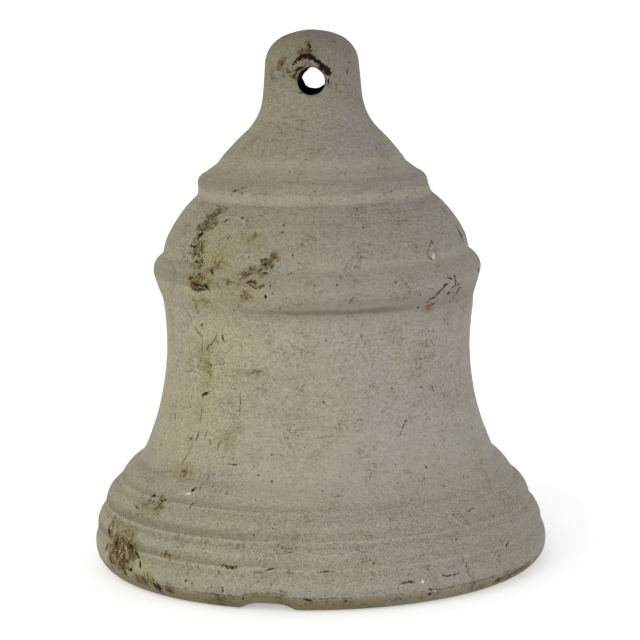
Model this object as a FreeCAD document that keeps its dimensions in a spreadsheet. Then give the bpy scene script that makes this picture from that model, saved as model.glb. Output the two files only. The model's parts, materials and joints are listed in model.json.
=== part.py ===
import FreeCAD, Part
import math
import os

import Sketcher

# A cast yard bell that hangs by a cross hole in its solid knob, and the clapper inside it.
# +Z is up and the origin is the centre of the mouth, on the plane that the rim stands on.
# The hanging hole and the clapper's pin both run along Y, so the clapper swings along X.

document = FreeCAD.newDocument("yard_dinner_bell")
sheet = document.addObject("Spreadsheet::Sheet", "sizes")

RING_COUNT = 4
FULL_TURN = 360.0
DRILL_POINT_SLOPE = 0.6
NUT_CHAMFER_SLOPE = 0.55

# Driving dimensions in millimetres, each a cell of the sheet.
DRIVING_SIZES = {
    # Bell casting, outside, from the foot up
    "foot_radius": 117.0,
    "foot_round": 14.0,
    "lip_radius": 126.8,
    "lip_height": 8.0,
    "ring_pitch": 13.3,
    "ring_step": 1.74,
    "ring_round": 15.5,
    "top_ring_round": 32.0,
    "flare_round": 150.0,
    "waist_radius": 84.6,
    "waist_height": 125.0,
    "waist_upper_round": 188.0,
    "bead_foot_radius": 86.4,
    "bead_foot_height": 151.0,
    "bead_slope_radius": 90.4,
    "bead_slope_height": 162.5,
    "bead_round": 9.5,
    "dome_foot_radius": 85.6,
    "dome_foot_height": 175.5,
    "dome_round": 56.0,
    "ridge_foot_radius": 65.7,
    "ridge_foot_height": 208.0,
    "ridge_side_radius": 64.3,
    "ridge_side_height": 213.0,
    "ridge_round": 6.0,
    "shelf_outer_radius": 59.9,
    "shelf_outer_height": 219.7,
    "shelf_inner_radius": 52.5,
    "shelf_inner_height": 224.8,
    "cone_round": 130.0,
    "neck_foot_radius": 36.7,
    "neck_foot_height": 242.8,
    "neck_round": 30.0,
    "knob_foot_radius": 27.3,
    "knob_foot_height": 262.5,
    "knob_side_radius": 26.0,
    "knob_side_height": 279.0,
    "knob_shoulder_round": 17.8,
    "knob_crown_radius": 15.4,
    "knob_crown_round": 38.8,
    "bell_height": 298.3,
    # Bell casting, inside
    "mouth_radius": 113.0,
    "mouth_land_radius": 111.0,
    "mouth_land_height": 14.0,
    "inner_flare_round": 420.0,
    "inner_waist_radius": 77.6,
    "inner_waist_height": 130.0,
    "vault_radius": 77.9,
    "vault_foot_height": 160.5,
    "vault_round": 60.5,
    "boss_radius": 15.5,
    "boss_depth": 6.0,
    "boss_chamfer": 1.5,
    "tapped_hole_depth": 30.0,
    # Hanging hole through the knob, and the chip in the rim
    "hanging_hole_height": 271.5,
    "hanging_hole_radius": 7.15,
    "hanging_hole_wall": 42.0,
    "hanging_mouth_radius": 11.6,
    "hanging_mouth_reach": 28.0,
    "hanging_mouth_round": 8.0,
    "chip_offset": -24.5,
    "chip_width": 29.0,
    "chip_depth": 4.5,
    # Clapper hanger
    "hanger_thread_radius": 4.75,
    "thread_clearance": 0.05,
    "washer_radius": 12.5,
    "washer_thickness": 2.0,
    "nut_flats": 16.0,
    "nut_thickness": 8.0,
    "pivot_height": 188.0,
    "eye_radius": 12.0,
    "eye_thickness": 9.0,
    "eye_edge_round": 1.5,
    # Clevis and its pin
    "pin_radius": 4.0,
    "pin_clearance": 0.06,
    "clevis_gap": 10.0,
    "ear_thickness": 5.0,
    "ear_radius": 9.0,
    "clevis_throat": 14.0,
    "clevis_base": 9.0,
    "clevis_edge_round": 1.2,
    "pin_head_radius": 6.5,
    "pin_head_thickness": 3.0,
    "pin_end_length": 8.0,
    "pin_washer_radius": 8.0,
    "pin_washer_thickness": 1.6,
    "split_wire_radius": 0.5,
    "split_leg_spacing": 1.06,
    "split_leg_length": 11.4,
    "split_hole_radius": 1.15,
    "split_ring_radius": 2.1,
    "split_ring_wire": 0.6,
    "split_tip_length": 3.4,
    "split_tip_angle": 38.0,
    # Clapper
    "shank_radius": 5.0,
    "shank_end_height": 25.5,
    "shank_chamfer": 0.8,
    "ball_height": 50.0,
    "ball_radius": 21.0,
    "ball_half_height": 19.0,
    "ball_bore_clearance": 0.3,
    "collar_radius": 8.0,
    "collar_length": 8.0,
    "pull_ring_radius": 7.0,
    "pull_ring_wire": 2.8,
}


class Size:
    """A size that the document follows: its value now, and the expression that gives it."""

    def __init__(self, value, text):
        self.value = value
        self.text = text

    def __add__(self, other):
        other = as_size(other)
        return Size(self.value + other.value, f"({self.text} + {other.text})")

    def __sub__(self, other):
        other = as_size(other)
        return Size(self.value - other.value, f"({self.text} - {other.text})")

    def __mul__(self, other):
        other = as_size(other)
        return Size(self.value * other.value, f"({self.text} * {other.text})")

    def __truediv__(self, other):
        other = as_size(other)
        return Size(self.value / other.value, f"({self.text} / {other.text})")

    def __neg__(self):
        return Size(-self.value, f"(-1 * {self.text})")

    def root(self):
        return Size(math.sqrt(self.value), f"sqrt({self.text})")


def as_size(value):
    """The size itself, or a plain number as one."""
    if isinstance(value, Size):
        return value
    return Size(float(value), f"({float(value)})")


def fill_sheet():
    """Write the driving dimensions and give each cell its alias."""
    for row, (name, value) in enumerate(DRIVING_SIZES.items(), start=1):
        sheet.set(f"A{row}", name)
        sheet.set(f"B{row}", str(value))
        sheet.setAlias(f"B{row}", name)
    document.recompute()


def size(name):
    """A driving dimension, by its cell's alias."""
    return Size(DRIVING_SIZES[name], f"sizes.{name}")


def bind(thing, path, value):
    """Tie one property of an object to a size."""
    thing.setExpression(path, as_size(value).text)


def lift(thing, height):
    """Set how high an object stands."""
    thing.Placement.Base.z = as_size(height).value
    bind(thing, "Placement.Base.z", height)


# Sketches


def new_body(label):
    body = document.addObject("PartDesign::Body", label)
    body.Label = label
    return body


def new_sketch(body, name, plane):
    """A sketch on one of the body's own origin planes."""
    sketch = body.newObject("Sketcher::SketchObject", f"{body.Label}_{name}")
    for feature in body.Origin.OriginFeatures:
        if feature.Role == plane:
            sketch.AttachmentSupport = [(feature, "")]
    sketch.MapMode = "FlatFace"
    return sketch


def name_and_bind(sketch, constraint, name, value):
    index = sketch.addConstraint(constraint)
    sketch.renameConstraint(index, name)
    sketch.setExpression(f"Constraints.{name}", as_size(value).text)


def place_point(sketch, geometry, point, name, across, up):
    """Hold one point of a sketch at its two sizes, or on an axis where one is nothing."""
    across = as_size(across)
    up = as_size(up)
    if across.value == 0.0:
        sketch.addConstraint(Sketcher.Constraint("PointOnObject", geometry, point, -2))
    else:
        constraint = Sketcher.Constraint("DistanceX", -1, 1, geometry, point, across.value)
        name_and_bind(sketch, constraint, f"{name}_across", across)
    if up.value == 0.0:
        sketch.addConstraint(Sketcher.Constraint("PointOnObject", geometry, point, -1))
    else:
        constraint = Sketcher.Constraint("DistanceY", -1, 1, geometry, point, up.value)
        name_and_bind(sketch, constraint, f"{name}_up", up)


def bent_stretch(start, end, radius):
    """An arc from start to end, turning left where the radius is positive, and its two ends."""
    chord = end - start
    left = FreeCAD.Vector(-chord.y, chord.x, 0) / chord.Length
    reach = math.sqrt(radius * radius - chord.Length * chord.Length / 4)
    centre = (start + end) / 2 + left * math.copysign(reach, radius)
    first, last = (start, end) if radius > 0 else (end, start)
    from_angle = math.atan2(first.y - centre.y, first.x - centre.x)
    to_angle = math.atan2(last.y - centre.y, last.x - centre.x)
    circle = Part.Circle(centre, FreeCAD.Vector(0, 0, 1), abs(radius))
    ends = (1, 2) if radius > 0 else (2, 1)
    return Part.ArcOfCircle(circle, from_angle, to_angle), ends


def outline(sketch, corners):
    """A closed outline through (across, up) corners, each held at its sizes.

    A third value bends the stretch that leaves that corner to an arc of that radius,
    which turns left where it is positive and right where it is negative.
    """
    points = []
    for corner in corners:
        points.append(FreeCAD.Vector(as_size(corner[0]).value, as_size(corner[1]).value, 0))
    stretches = []
    for index, corner in enumerate(corners):
        start = points[index]
        end = points[(index + 1) % len(points)]
        if len(corner) == 3:
            curve, ends = bent_stretch(start, end, as_size(corner[2]).value)
        else:
            curve, ends = Part.LineSegment(start, end), (1, 2)
        stretches.append((sketch.addGeometry(curve, False), ends))
    for index, (geometry, ends) in enumerate(stretches):
        following, following_ends = stretches[(index + 1) % len(stretches)]
        sketch.addConstraint(
            Sketcher.Constraint("Coincident", geometry, ends[1], following, following_ends[0])
        )
    for index, corner in enumerate(corners):
        geometry, ends = stretches[index]
        place_point(sketch, geometry, ends[0], f"corner_{index}", corner[0], corner[1])
        if len(corner) == 3:
            radius = as_size(corner[2])
            if radius.value < 0:
                radius = -radius
            constraint = Sketcher.Constraint("Radius", geometry, radius.value)
            name_and_bind(sketch, constraint, f"bend_{index}", radius)


def round_outline(sketch, radius, across=0.0, up=0.0):
    """A circle of a bound radius about a bound point."""
    centre = FreeCAD.Vector(as_size(across).value, as_size(up).value, 0)
    circle = Part.Circle(centre, FreeCAD.Vector(0, 0, 1), as_size(radius).value)
    geometry = sketch.addGeometry(circle, False)
    place_point(sketch, geometry, 3, "centre", across, up)
    constraint = Sketcher.Constraint("Radius", geometry, as_size(radius).value)
    name_and_bind(sketch, constraint, "round", radius)


# Features


def turned(body, sketch, kind="PartDesign::Revolution", axis="V_Axis"):
    """A full turn of a sketch about one of its axes, added or, as a groove, taken away."""
    feature = body.newObject(kind, f"{sketch.Name}_turn")
    feature.Profile = sketch
    feature.ReferenceAxis = (sketch, [axis])
    feature.Angle = FULL_TURN
    sketch.Visibility = False
    document.recompute()
    return feature


def padded(body, sketch, length, both_sides=False):
    feature = body.newObject("PartDesign::Pad", f"{sketch.Name}_pad")
    feature.Profile = sketch
    feature.Midplane = both_sides
    bind(feature, "Length", length)
    document.recompute()
    return feature


def cut_through(body, sketch):
    """A cut through the whole body, both ways from the sketch, that has to remove something."""
    before = body.Shape.Volume
    feature = body.newObject("PartDesign::Pocket", f"{sketch.Name}_cut")
    feature.Profile = sketch
    feature.Type = "ThroughAll"
    feature.Midplane = True
    document.recompute()
    if not body.Shape.Volume < before:
        raise RuntimeError(f"{feature.Name} removes nothing")
    return feature


def rounded(body, feature, radius, wanted):
    """Round the edges of a feature that the test picks out."""
    names = []
    for index, edge in enumerate(feature.Shape.Edges, start=1):
        if wanted(edge):
            names.append(f"Edge{index}")
    fillet = body.newObject("PartDesign::Fillet", f"{feature.Name}_round")
    fillet.Base = (feature, names)
    bind(fillet, "Radius", radius)
    document.recompute()
    return fillet


def turned_body(label, corners):
    """A body that is one full turn about the vertical axis."""
    body = new_body(label)
    sketch = new_sketch(body, "profile", "XZ_Plane")
    outline(sketch, corners)
    turned(body, sketch)
    return body


def primitive(kind, name, **sizes):
    """A Part primitive with each of its properties tied to a size."""
    shape = document.addObject(f"Part::{kind}", name)
    for path, value in sizes.items():
        bind(shape, path, value)
    return shape


# Heights of the stack that hangs under the crown


def vault_top():
    return size("vault_foot_height") + size("vault_round")


def boss_face():
    return vault_top() - size("boss_depth")


def hanger_nut_seat():
    return boss_face() - size("washer_thickness") - size("nut_thickness")


def clevis_floor():
    return size("pivot_height") - size("clevis_throat")


def clevis_foot():
    return clevis_floor() - size("clevis_base")


def ear_face():
    return size("clevis_gap") / 2 + size("ear_thickness")


# Bell casting


def outer_corners():
    """The outside of the bell, from the foot up to the top of the knob."""
    corners = [(size("foot_radius"), 0.0, size("foot_round"))]
    for ring in range(RING_COUNT):
        across = size("lip_radius") - size("ring_step") * ring * ring
        up = size("lip_height") + size("ring_pitch") * ring
        bulge = size("top_ring_round") if ring == RING_COUNT - 1 else size("ring_round")
        corners.append((across, up, bulge))
    crown = size("knob_crown_radius")
    crown_round = size("knob_crown_round")
    crown_rise = crown_round - (crown_round * crown_round - crown * crown).root()
    flare_foot_radius = size("lip_radius") - size("ring_step") * RING_COUNT * RING_COUNT
    flare_foot_height = size("lip_height") + size("ring_pitch") * RING_COUNT
    corners += [
        (flare_foot_radius, flare_foot_height, -size("flare_round")),
        (size("waist_radius"), size("waist_height"), -size("waist_upper_round")),
        (size("bead_foot_radius"), size("bead_foot_height")),
        (size("bead_slope_radius"), size("bead_slope_height"), size("bead_round")),
        (size("dome_foot_radius"), size("dome_foot_height"), size("dome_round")),
        (size("ridge_foot_radius"), size("ridge_foot_height")),
        (size("ridge_side_radius"), size("ridge_side_height"), size("ridge_round")),
        (size("shelf_outer_radius"), size("shelf_outer_height")),
        (size("shelf_inner_radius"), size("shelf_inner_height"), size("cone_round")),
        (size("neck_foot_radius"), size("neck_foot_height"), -size("neck_round")),
        (size("knob_foot_radius"), size("knob_foot_height")),
        (size("knob_side_radius"), size("knob_side_height"), size("knob_shoulder_round")),
        (crown, size("bell_height") - crown_rise, crown_round),
        (0.0, size("bell_height")),
    ]
    return corners


def inner_corners():
    """The inside of the bell, from the tapped hole in the crown down to the mouth."""
    bore = size("hanger_thread_radius") + size("thread_clearance")
    bore_top = boss_face() + size("tapped_hole_depth")
    chamfer = size("boss_chamfer")
    return [
        (0.0, bore_top + bore * DRILL_POINT_SLOPE),
        (bore, bore_top),
        (bore, boss_face()),
        (size("boss_radius") - chamfer, boss_face()),
        (size("boss_radius"), boss_face() + chamfer),
        (size("boss_radius"), vault_top()),
        (size("vault_radius") - size("vault_round"), vault_top(), -size("vault_round")),
        (size("vault_radius"), size("vault_foot_height")),
        (size("inner_waist_radius"), size("inner_waist_height"), size("inner_flare_round")),
        (size("mouth_land_radius"), size("mouth_land_height")),
        (size("mouth_radius"), 0.0),
    ]


def bore_hanging_hole(body):
    """The round-mouthed cross hole through the knob, cut as a full turn about Y."""
    sketch = new_sketch(body, "hanging_hole", "YZ_Plane")
    sketch.AttachmentOffset.Base.y = size("hanging_hole_height").value
    bind(sketch, "AttachmentOffset.Base.y", size("hanging_hole_height"))
    wall_end = size("hanging_hole_wall") / 2
    outline(
        sketch,
        [
            (-size("hanging_mouth_reach"), 0.0),
            (size("hanging_mouth_reach"), 0.0),
            (size("hanging_mouth_reach"), size("hanging_mouth_radius"), size("hanging_mouth_round")),
            (wall_end, size("hanging_hole_radius")),
            (-wall_end, size("hanging_hole_radius"), size("hanging_mouth_round")),
            (-size("hanging_mouth_reach"), size("hanging_mouth_radius")),
        ],
    )
    turned(body, sketch, "PartDesign::Groove", "H_Axis")


def chip_rim(body):
    """The bite out of the front of the rim, a shallow arc across the foot."""
    half_width = size("chip_width") / 2
    chip_round = (half_width * half_width + size("chip_depth") * size("chip_depth")) / (
        size("chip_depth") * 2
    )
    before = body.Shape.Volume
    sketch = new_sketch(body, "rim_chip", "XZ_Plane")
    round_outline(sketch, chip_round, size("chip_offset"), size("chip_depth") - chip_round)
    chip = body.newObject("PartDesign::Pocket", "rim_chip_cut")
    chip.Profile = sketch
    chip.Type = "ThroughAll"
    chip.Reversed = True
    document.recompute()
    if not body.Shape.Volume < before:
        raise RuntimeError("the rim chip removes nothing")


def bell_casting():
    body = turned_body("bell_casting", outer_corners() + inner_corners())
    bore_hanging_hole(body)
    chip_rim(body)
    return body


# Hardware


def washer(label, outer_radius, bore_radius, thickness):
    corners = [
        (bore_radius, 0.0),
        (outer_radius, 0.0),
        (outer_radius, thickness),
        (bore_radius, thickness),
    ]
    return turned_body(label, corners)


def square_nut(label, bore_radius):
    """A square nut with its corners turned off on the upper face."""
    half = size("nut_flats") / 2
    thickness = size("nut_thickness")
    body = new_body(label)
    flats = new_sketch(body, "flats", "XY_Plane")
    outline(flats, [(half, -half), (half, half), (-half, half), (-half, -half)])
    padded(body, flats, thickness)
    bore = new_sketch(body, "bore", "XY_Plane")
    round_outline(bore, bore_radius)
    cut_through(body, bore)
    corner_radius = half * 1.5
    chamfer = new_sketch(body, "chamfer", "XZ_Plane")
    outline(
        chamfer,
        [
            (corner_radius, thickness - (corner_radius - half) * NUT_CHAMFER_SLOPE),
            (corner_radius, thickness),
            (half, thickness),
        ],
    )
    turned(body, chamfer, "PartDesign::Groove")
    return body


def hanger_eyebolt():
    """A drilled flat eye under a plain-modelled threaded shank."""
    thread = size("hanger_thread_radius")
    chamfer = size("shank_chamfer")
    shank_top = boss_face() + size("tapped_hole_depth") - size("boss_chamfer")
    body = new_body("hanger_eyebolt")
    eye = new_sketch(body, "eye", "XZ_Plane")
    round_outline(eye, size("eye_radius"), 0.0, size("pivot_height"))
    disc = padded(body, eye, size("eye_thickness"), both_sides=True)
    rounded(body, disc, size("eye_edge_round"), lambda edge: edge.Closed)
    shank = new_sketch(body, "shank", "XZ_Plane")
    outline(
        shank,
        [
            (0.0, size("pivot_height") + size("pin_radius") * 2),
            (thread, size("pivot_height") + size("pin_radius") * 2),
            (thread, shank_top - chamfer),
            (thread - chamfer, shank_top),
            (0.0, shank_top),
        ],
    )
    turned(body, shank)
    bore = new_sketch(body, "bore", "XZ_Plane")
    round_outline(bore, size("pin_radius") + size("pin_clearance"), 0.0, size("pivot_height"))
    cut_through(body, bore)
    return body


def clapper_clevis():
    """A forged fork: two round-topped ears over a block that takes the shank."""
    ear = size("ear_radius")
    foot = -(size("clevis_throat") + size("clevis_base"))
    half_gap = size("clevis_gap") / 2
    body = new_body("clapper_clevis")
    side = new_sketch(body, "side", "XZ_Plane")
    outline(side, [(ear, foot), (ear, 0.0, ear), (0.0, ear, ear), (-ear, 0.0), (-ear, foot)])
    block = padded(body, side, ear_face() * 2, both_sides=True)
    rounded(body, block, size("clevis_edge_round"), lambda edge: abs(edge.CenterOfMass.y) > 1)
    slot = new_sketch(body, "slot", "YZ_Plane")
    outline(
        slot,
        [
            (half_gap, ear * 2),
            (-half_gap, ear * 2),
            (-half_gap, -size("clevis_throat")),
            (half_gap, -size("clevis_throat")),
        ],
    )
    cut_through(body, slot)
    bore = new_sketch(body, "pin_bore", "XZ_Plane")
    round_outline(bore, size("pin_radius") + size("pin_clearance"))
    cut_through(body, bore)
    shank_bore = new_sketch(body, "shank_bore", "XY_Plane")
    round_outline(shank_bore, size("shank_radius") + size("thread_clearance"))
    cut_through(body, shank_bore)
    lift(body, size("pivot_height"))
    return body


def split_pin_offset():
    """How far along Y the split pin stands from the middle of the clevis."""
    return ear_face() + size("pin_washer_thickness") + size("split_hole_radius") * 2


def clevis_pin():
    """A headed pin along Y, with a cross hole near its far end for the split pin."""
    radius = size("pin_radius")
    chamfer = size("shank_chamfer")
    head_face = -ear_face() - size("pin_head_thickness")
    pin_end = ear_face() + size("pin_end_length")
    body = new_body("clevis_pin")
    side = new_sketch(body, "side", "YZ_Plane")
    outline(
        side,
        [
            (head_face, 0.0),
            (pin_end, 0.0),
            (pin_end, radius - chamfer),
            (pin_end - chamfer, radius),
            (-ear_face(), radius),
            (-ear_face(), size("pin_head_radius")),
            (head_face + chamfer, size("pin_head_radius")),
            (head_face, size("pin_head_radius") - chamfer),
        ],
    )
    turned(body, side, axis="H_Axis")
    hole = new_sketch(body, "split_hole", "XY_Plane")
    round_outline(hole, size("split_hole_radius"), 0.0, split_pin_offset())
    cut_through(body, hole)
    lift(body, size("pivot_height"))
    return body


def clevis_pin_washer():
    """The washer between the far ear and the split pin, its axis along Y."""
    bore = size("pin_radius") + size("pin_clearance")
    far_face = ear_face() + size("pin_washer_thickness")
    body = new_body("clevis_pin_washer")
    side = new_sketch(body, "side", "YZ_Plane")
    outline(
        side,
        [
            (ear_face(), bore),
            (far_face, bore),
            (far_face, size("pin_washer_radius")),
            (ear_face(), size("pin_washer_radius")),
        ],
    )
    turned(body, side, axis="H_Axis")
    lift(body, size("pivot_height"))
    return body


def place_split_piece(piece, across, up, tilt=0.0):
    """Stand one stretch of the split pin's wire in its place, leaning about Y."""
    piece.Placement.Rotation = FreeCAD.Rotation(FreeCAD.Vector(0, 1, 0), tilt)
    bind(piece, "Placement.Base.x", across)
    bind(piece, "Placement.Base.y", split_pin_offset())
    bind(piece, "Placement.Base.z", up)


def split_pin():
    """Two wire legs through the clevis pin, a ring above it and tips bent apart below."""
    wire = size("split_wire_radius")
    leg_foot = size("pivot_height") - size("split_leg_length") / 2
    pieces = []
    for side_name, side in (("left", -1), ("right", 1)):
        across = size("split_leg_spacing") / 2 * side
        leg = primitive("Cylinder", f"split_{side_name}_leg", Radius=wire, Height=size("split_leg_length"))
        place_split_piece(leg, across, leg_foot)
        knee = primitive("Sphere", f"split_{side_name}_knee", Radius=wire)
        place_split_piece(knee, across, leg_foot)
        tip = primitive("Cylinder", f"split_{side_name}_tip", Radius=wire, Height=size("split_tip_length"))
        place_split_piece(tip, across, leg_foot, 180.0 - side * size("split_tip_angle").value)
        pieces += [leg, knee, tip]
    ring_wire = size("split_ring_wire")
    ring = primitive("Torus", "split_ring", Radius1=size("split_ring_radius"), Radius2=ring_wire)
    ring.Placement.Rotation = FreeCAD.Rotation(FreeCAD.Vector(1, 0, 0), 90.0)
    ring_height = leg_foot + size("split_leg_length") + size("split_ring_radius") - wire / 2
    bind(ring, "Placement.Base.y", split_pin_offset())
    bind(ring, "Placement.Base.z", ring_height)
    pieces.append(ring)
    pin = document.addObject("Part::MultiFuse", "split_pin")
    pin.Shapes = pieces
    pin.Label = "split_pin"
    return pin


# Clapper


def clapper_shank():
    radius = size("shank_radius")
    chamfer = size("shank_chamfer")
    return turned_body(
        "clapper_shank",
        [
            (0.0, size("shank_end_height")),
            (radius - chamfer, size("shank_end_height")),
            (radius, size("shank_end_height") + chamfer),
            (radius, clevis_floor() - chamfer),
            (radius - chamfer, clevis_floor()),
            (0.0, clevis_floor()),
        ],
    )


def clapper_ball():
    """A ball with a flat at each end and a bore for the shank."""
    half = size("ball_half_height")
    flat = (size("ball_radius") * size("ball_radius") - half * half).root()
    bore = size("shank_radius") + size("ball_bore_clearance")
    body = turned_body(
        "clapper_ball",
        [(bore, -half), (flat, -half, size("ball_radius")), (flat, half), (bore, half)],
    )
    lift(body, size("ball_height"))
    return body


def pull_eye():
    """A ring under a collar that screws on to the end of the shank and holds the ball up."""
    seat = size("ball_height") - size("ball_half_height")
    ring_height = seat - size("collar_length") - size("pull_ring_radius") - size("pull_ring_wire") / 2
    collar = primitive("Cylinder", "pull_collar", Radius=size("collar_radius"), Height=size("collar_length") + 1.5)
    lift(collar, seat - size("collar_length") - 1.5)
    ring = primitive("Torus", "pull_ring", Radius1=size("pull_ring_radius"), Radius2=size("pull_ring_wire"))
    ring.Placement.Rotation = FreeCAD.Rotation(FreeCAD.Vector(1, 0, 0), 90.0)
    bind(ring, "Placement.Base.z", ring_height)
    solid = document.addObject("Part::Fuse", "pull_eye_solid")
    solid.Base = collar
    solid.Tool = ring
    bore_radius = size("shank_radius") + size("thread_clearance")
    bore = primitive("Cylinder", "pull_bore", Radius=bore_radius, Height=size("collar_length") * 2)
    lift(bore, size("shank_end_height"))
    cut = document.addObject("Part::Cut", "pull_eye")
    cut.Base = solid
    cut.Tool = bore
    cut.Label = "pull_eye"
    return cut


def hanger_pieces():
    """What stays with the bell: the eyebolt, its washer and its nut."""
    bore = size("hanger_thread_radius") + size("thread_clearance")
    hanger_washer = washer("hanger_washer", size("washer_radius"), bore, size("washer_thickness"))
    lift(hanger_washer, boss_face() - size("washer_thickness"))
    hanger_nut = square_nut("hanger_nut", bore)
    lift(hanger_nut, hanger_nut_seat())
    return [hanger_eyebolt(), hanger_washer, hanger_nut]


def clapper_pieces():
    """What swings: the clevis with its pin, the shank, and the ball with its fixings."""
    bore = size("shank_radius") + size("thread_clearance")
    ball_top = size("ball_height") + size("ball_half_height")
    clevis_nut = square_nut("clevis_nut", bore)
    lift(clevis_nut, clevis_foot() - size("nut_thickness"))
    ball_washer = washer("ball_washer", size("washer_radius"), bore, size("washer_thickness"))
    lift(ball_washer, ball_top)
    ball_nut = square_nut("ball_nut", bore)
    lift(ball_nut, ball_top + size("washer_thickness"))
    clevis = [clapper_clevis(), clevis_pin(), clevis_pin_washer(), split_pin()]
    return clevis + [clevis_nut, clapper_shank(), ball_nut, ball_washer, clapper_ball(), pull_eye()]


def check_document():
    """Stop on any object that failed to compute."""
    for thing in document.Objects:
        if "Invalid" in thing.State or "Error" in thing.State:
            raise RuntimeError(f"{thing.Name} failed: {thing.State}")


def write_pieces(pieces):
    """Write each piece as one STEP file under its label, after testing its solid."""
    os.makedirs("parts", exist_ok=True)
    for piece in pieces:
        shape = piece.Shape
        if shape.isNull() or not shape.isValid() or len(shape.Solids) != 1:
            raise RuntimeError(f"{piece.Label} is not one valid solid")
        shape.exportStep(f"parts/{piece.Label}.step")
        print(f"{piece.Label}: {shape.Volume:.1f} mm3, {shape.BoundBox}")


fill_sheet()
pieces = [bell_casting()] + hanger_pieces() + clapper_pieces()
document.recompute()
check_document()
write_pieces(pieces)
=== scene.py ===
import json
import math

import bmesh
import bpy
import numpy as np
from mathutils import Matrix, Vector, noise


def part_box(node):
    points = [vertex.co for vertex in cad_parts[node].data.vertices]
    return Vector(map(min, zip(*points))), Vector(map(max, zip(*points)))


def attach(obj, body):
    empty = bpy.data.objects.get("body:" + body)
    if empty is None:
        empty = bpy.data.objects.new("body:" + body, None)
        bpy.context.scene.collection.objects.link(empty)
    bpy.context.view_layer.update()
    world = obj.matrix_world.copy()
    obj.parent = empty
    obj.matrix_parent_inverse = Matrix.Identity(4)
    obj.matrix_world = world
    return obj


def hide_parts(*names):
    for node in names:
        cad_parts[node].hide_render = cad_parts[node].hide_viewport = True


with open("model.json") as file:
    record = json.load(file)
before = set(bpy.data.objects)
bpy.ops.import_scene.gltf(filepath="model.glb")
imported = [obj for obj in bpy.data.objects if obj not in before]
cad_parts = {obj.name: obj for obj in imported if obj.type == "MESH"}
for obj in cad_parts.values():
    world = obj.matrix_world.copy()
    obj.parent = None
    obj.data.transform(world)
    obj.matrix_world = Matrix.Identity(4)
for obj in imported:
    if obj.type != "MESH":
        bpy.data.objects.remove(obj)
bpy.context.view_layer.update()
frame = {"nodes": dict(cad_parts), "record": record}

MM = 0.001
BELL = "bell_casting"
HOLE = [mount for mount in frame["record"]["mounts"] if mount["name"] == "hanging_hole"][0]
HOLE_HEIGHT = HOLE["pos_m"][2]
HOLE_RADIUS = HOLE["dims"]["r_mm"] * MM
FINE_COLUMNS = 320
COARSE_COLUMNS = 80
SEED = 7


def scene_object(name, data):
    """A new object of the scene that shows a mesh, a curve, a lamp or a camera."""
    thing = bpy.data.objects.new(name, data)
    bpy.context.scene.collection.objects.link(thing)
    return thing


def plain_mesh(name, vertices, faces):
    mesh = bpy.data.meshes.new(name)
    mesh.from_pydata([tuple(vertex) for vertex in vertices], [], faces)
    return mesh


# Camera, floor and light


def make_camera():
    data = bpy.data.cameras.new("camera")
    data.lens = 147.9
    data.sensor_width = 36.0
    camera = scene_object("camera", data)
    turn = math.radians(2.3)
    pitch = math.radians(8.85)
    roll = math.radians(1.0)
    sideways, distance, above_floor = 1.4 * MM, 1.4575, 0.363
    place = Matrix.Rotation(turn, 4, "Z") @ Matrix.Translation((sideways, -distance, above_floor))
    aim = Matrix.Rotation(math.radians(90.0) - pitch, 4, "X") @ Matrix.Rotation(-roll, 4, "Z")
    camera.matrix_world = place @ aim
    bpy.context.scene.camera = camera


def sun_light(name, direction, strength, spread, colour):
    data = bpy.data.lights.new(name, "SUN")
    data.energy = strength
    data.angle = math.radians(spread)
    data.color = colour
    light = scene_object(name, data)
    light.rotation_euler = Vector(direction).to_track_quat("-Z", "Y").to_euler()


def make_world():
    """A pale room: brightest at the height of the eyes and on the left, dimmer overhead."""
    world = bpy.data.worlds.new("studio")
    world.use_nodes = True
    tree = world.node_tree
    direction = tree.nodes.new("ShaderNodeTexCoord").outputs["Generated"]
    split = tree.nodes.new("ShaderNodeSeparateXYZ")
    tree.links.new(direction, split.inputs[0])

    def fade(value, low, high, to_low, to_high):
        node = tree.nodes.new("ShaderNodeMapRange")
        node.interpolation_type = "SMOOTHSTEP"
        limits = (("From Min", low), ("From Max", high), ("To Min", to_low), ("To Max", to_high))
        for name, number in limits:
            node.inputs[name].default_value = number
        tree.links.new(value, node.inputs["Value"])
        return node.outputs[0]

    overhead = fade(split.outputs["Z"], 0.10, 0.95, 1.0, 0.32)
    sideways = fade(split.outputs["X"], -0.9, 0.5, 1.12, 0.96)
    product = tree.nodes.new("ShaderNodeMath")
    product.operation = "MULTIPLY"
    tree.links.new(overhead, product.inputs[0])
    tree.links.new(sideways, product.inputs[1])
    background = tree.nodes["Background"]
    background.inputs["Color"].default_value = (1.0, 1.0, 0.99, 1.0)
    tree.links.new(product.outputs[0], background.inputs["Strength"])
    bpy.context.scene.world = world


def make_floor():
    side = 30.0
    corners = [(-side, -side, 0.0), (side, -side, 0.0), (side, side, 0.0), (-side, side, 0.0)]
    mesh = plain_mesh("floor", corners, [(0, 1, 2, 3)])
    floor = scene_object("floor", mesh)
    material = bpy.data.materials.new("floor_paper")
    material.use_nodes = True
    shader = material.node_tree.nodes["Principled BSDF"]
    shader.inputs["Base Color"].default_value = (0.97, 0.97, 0.965, 1.0)
    shader.inputs["Roughness"].default_value = 0.9
    shader.inputs["Specular IOR Level"].default_value = 0.1
    shader.inputs["Emission Color"].default_value = (1.0, 1.0, 0.99, 1.0)
    shader.inputs["Emission Strength"].default_value = 0.42
    mesh.materials.append(material)


def make_studio():
    scene = bpy.context.scene
    scene.view_settings.view_transform = "Standard"
    scene.view_settings.look = "None"
    make_camera()
    make_world()
    make_floor()
    sun_light("high_soft_light", (0.35, 0.80, -0.7), 0.75, 50.0, (1.0, 0.985, 0.95))


# Material building


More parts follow.
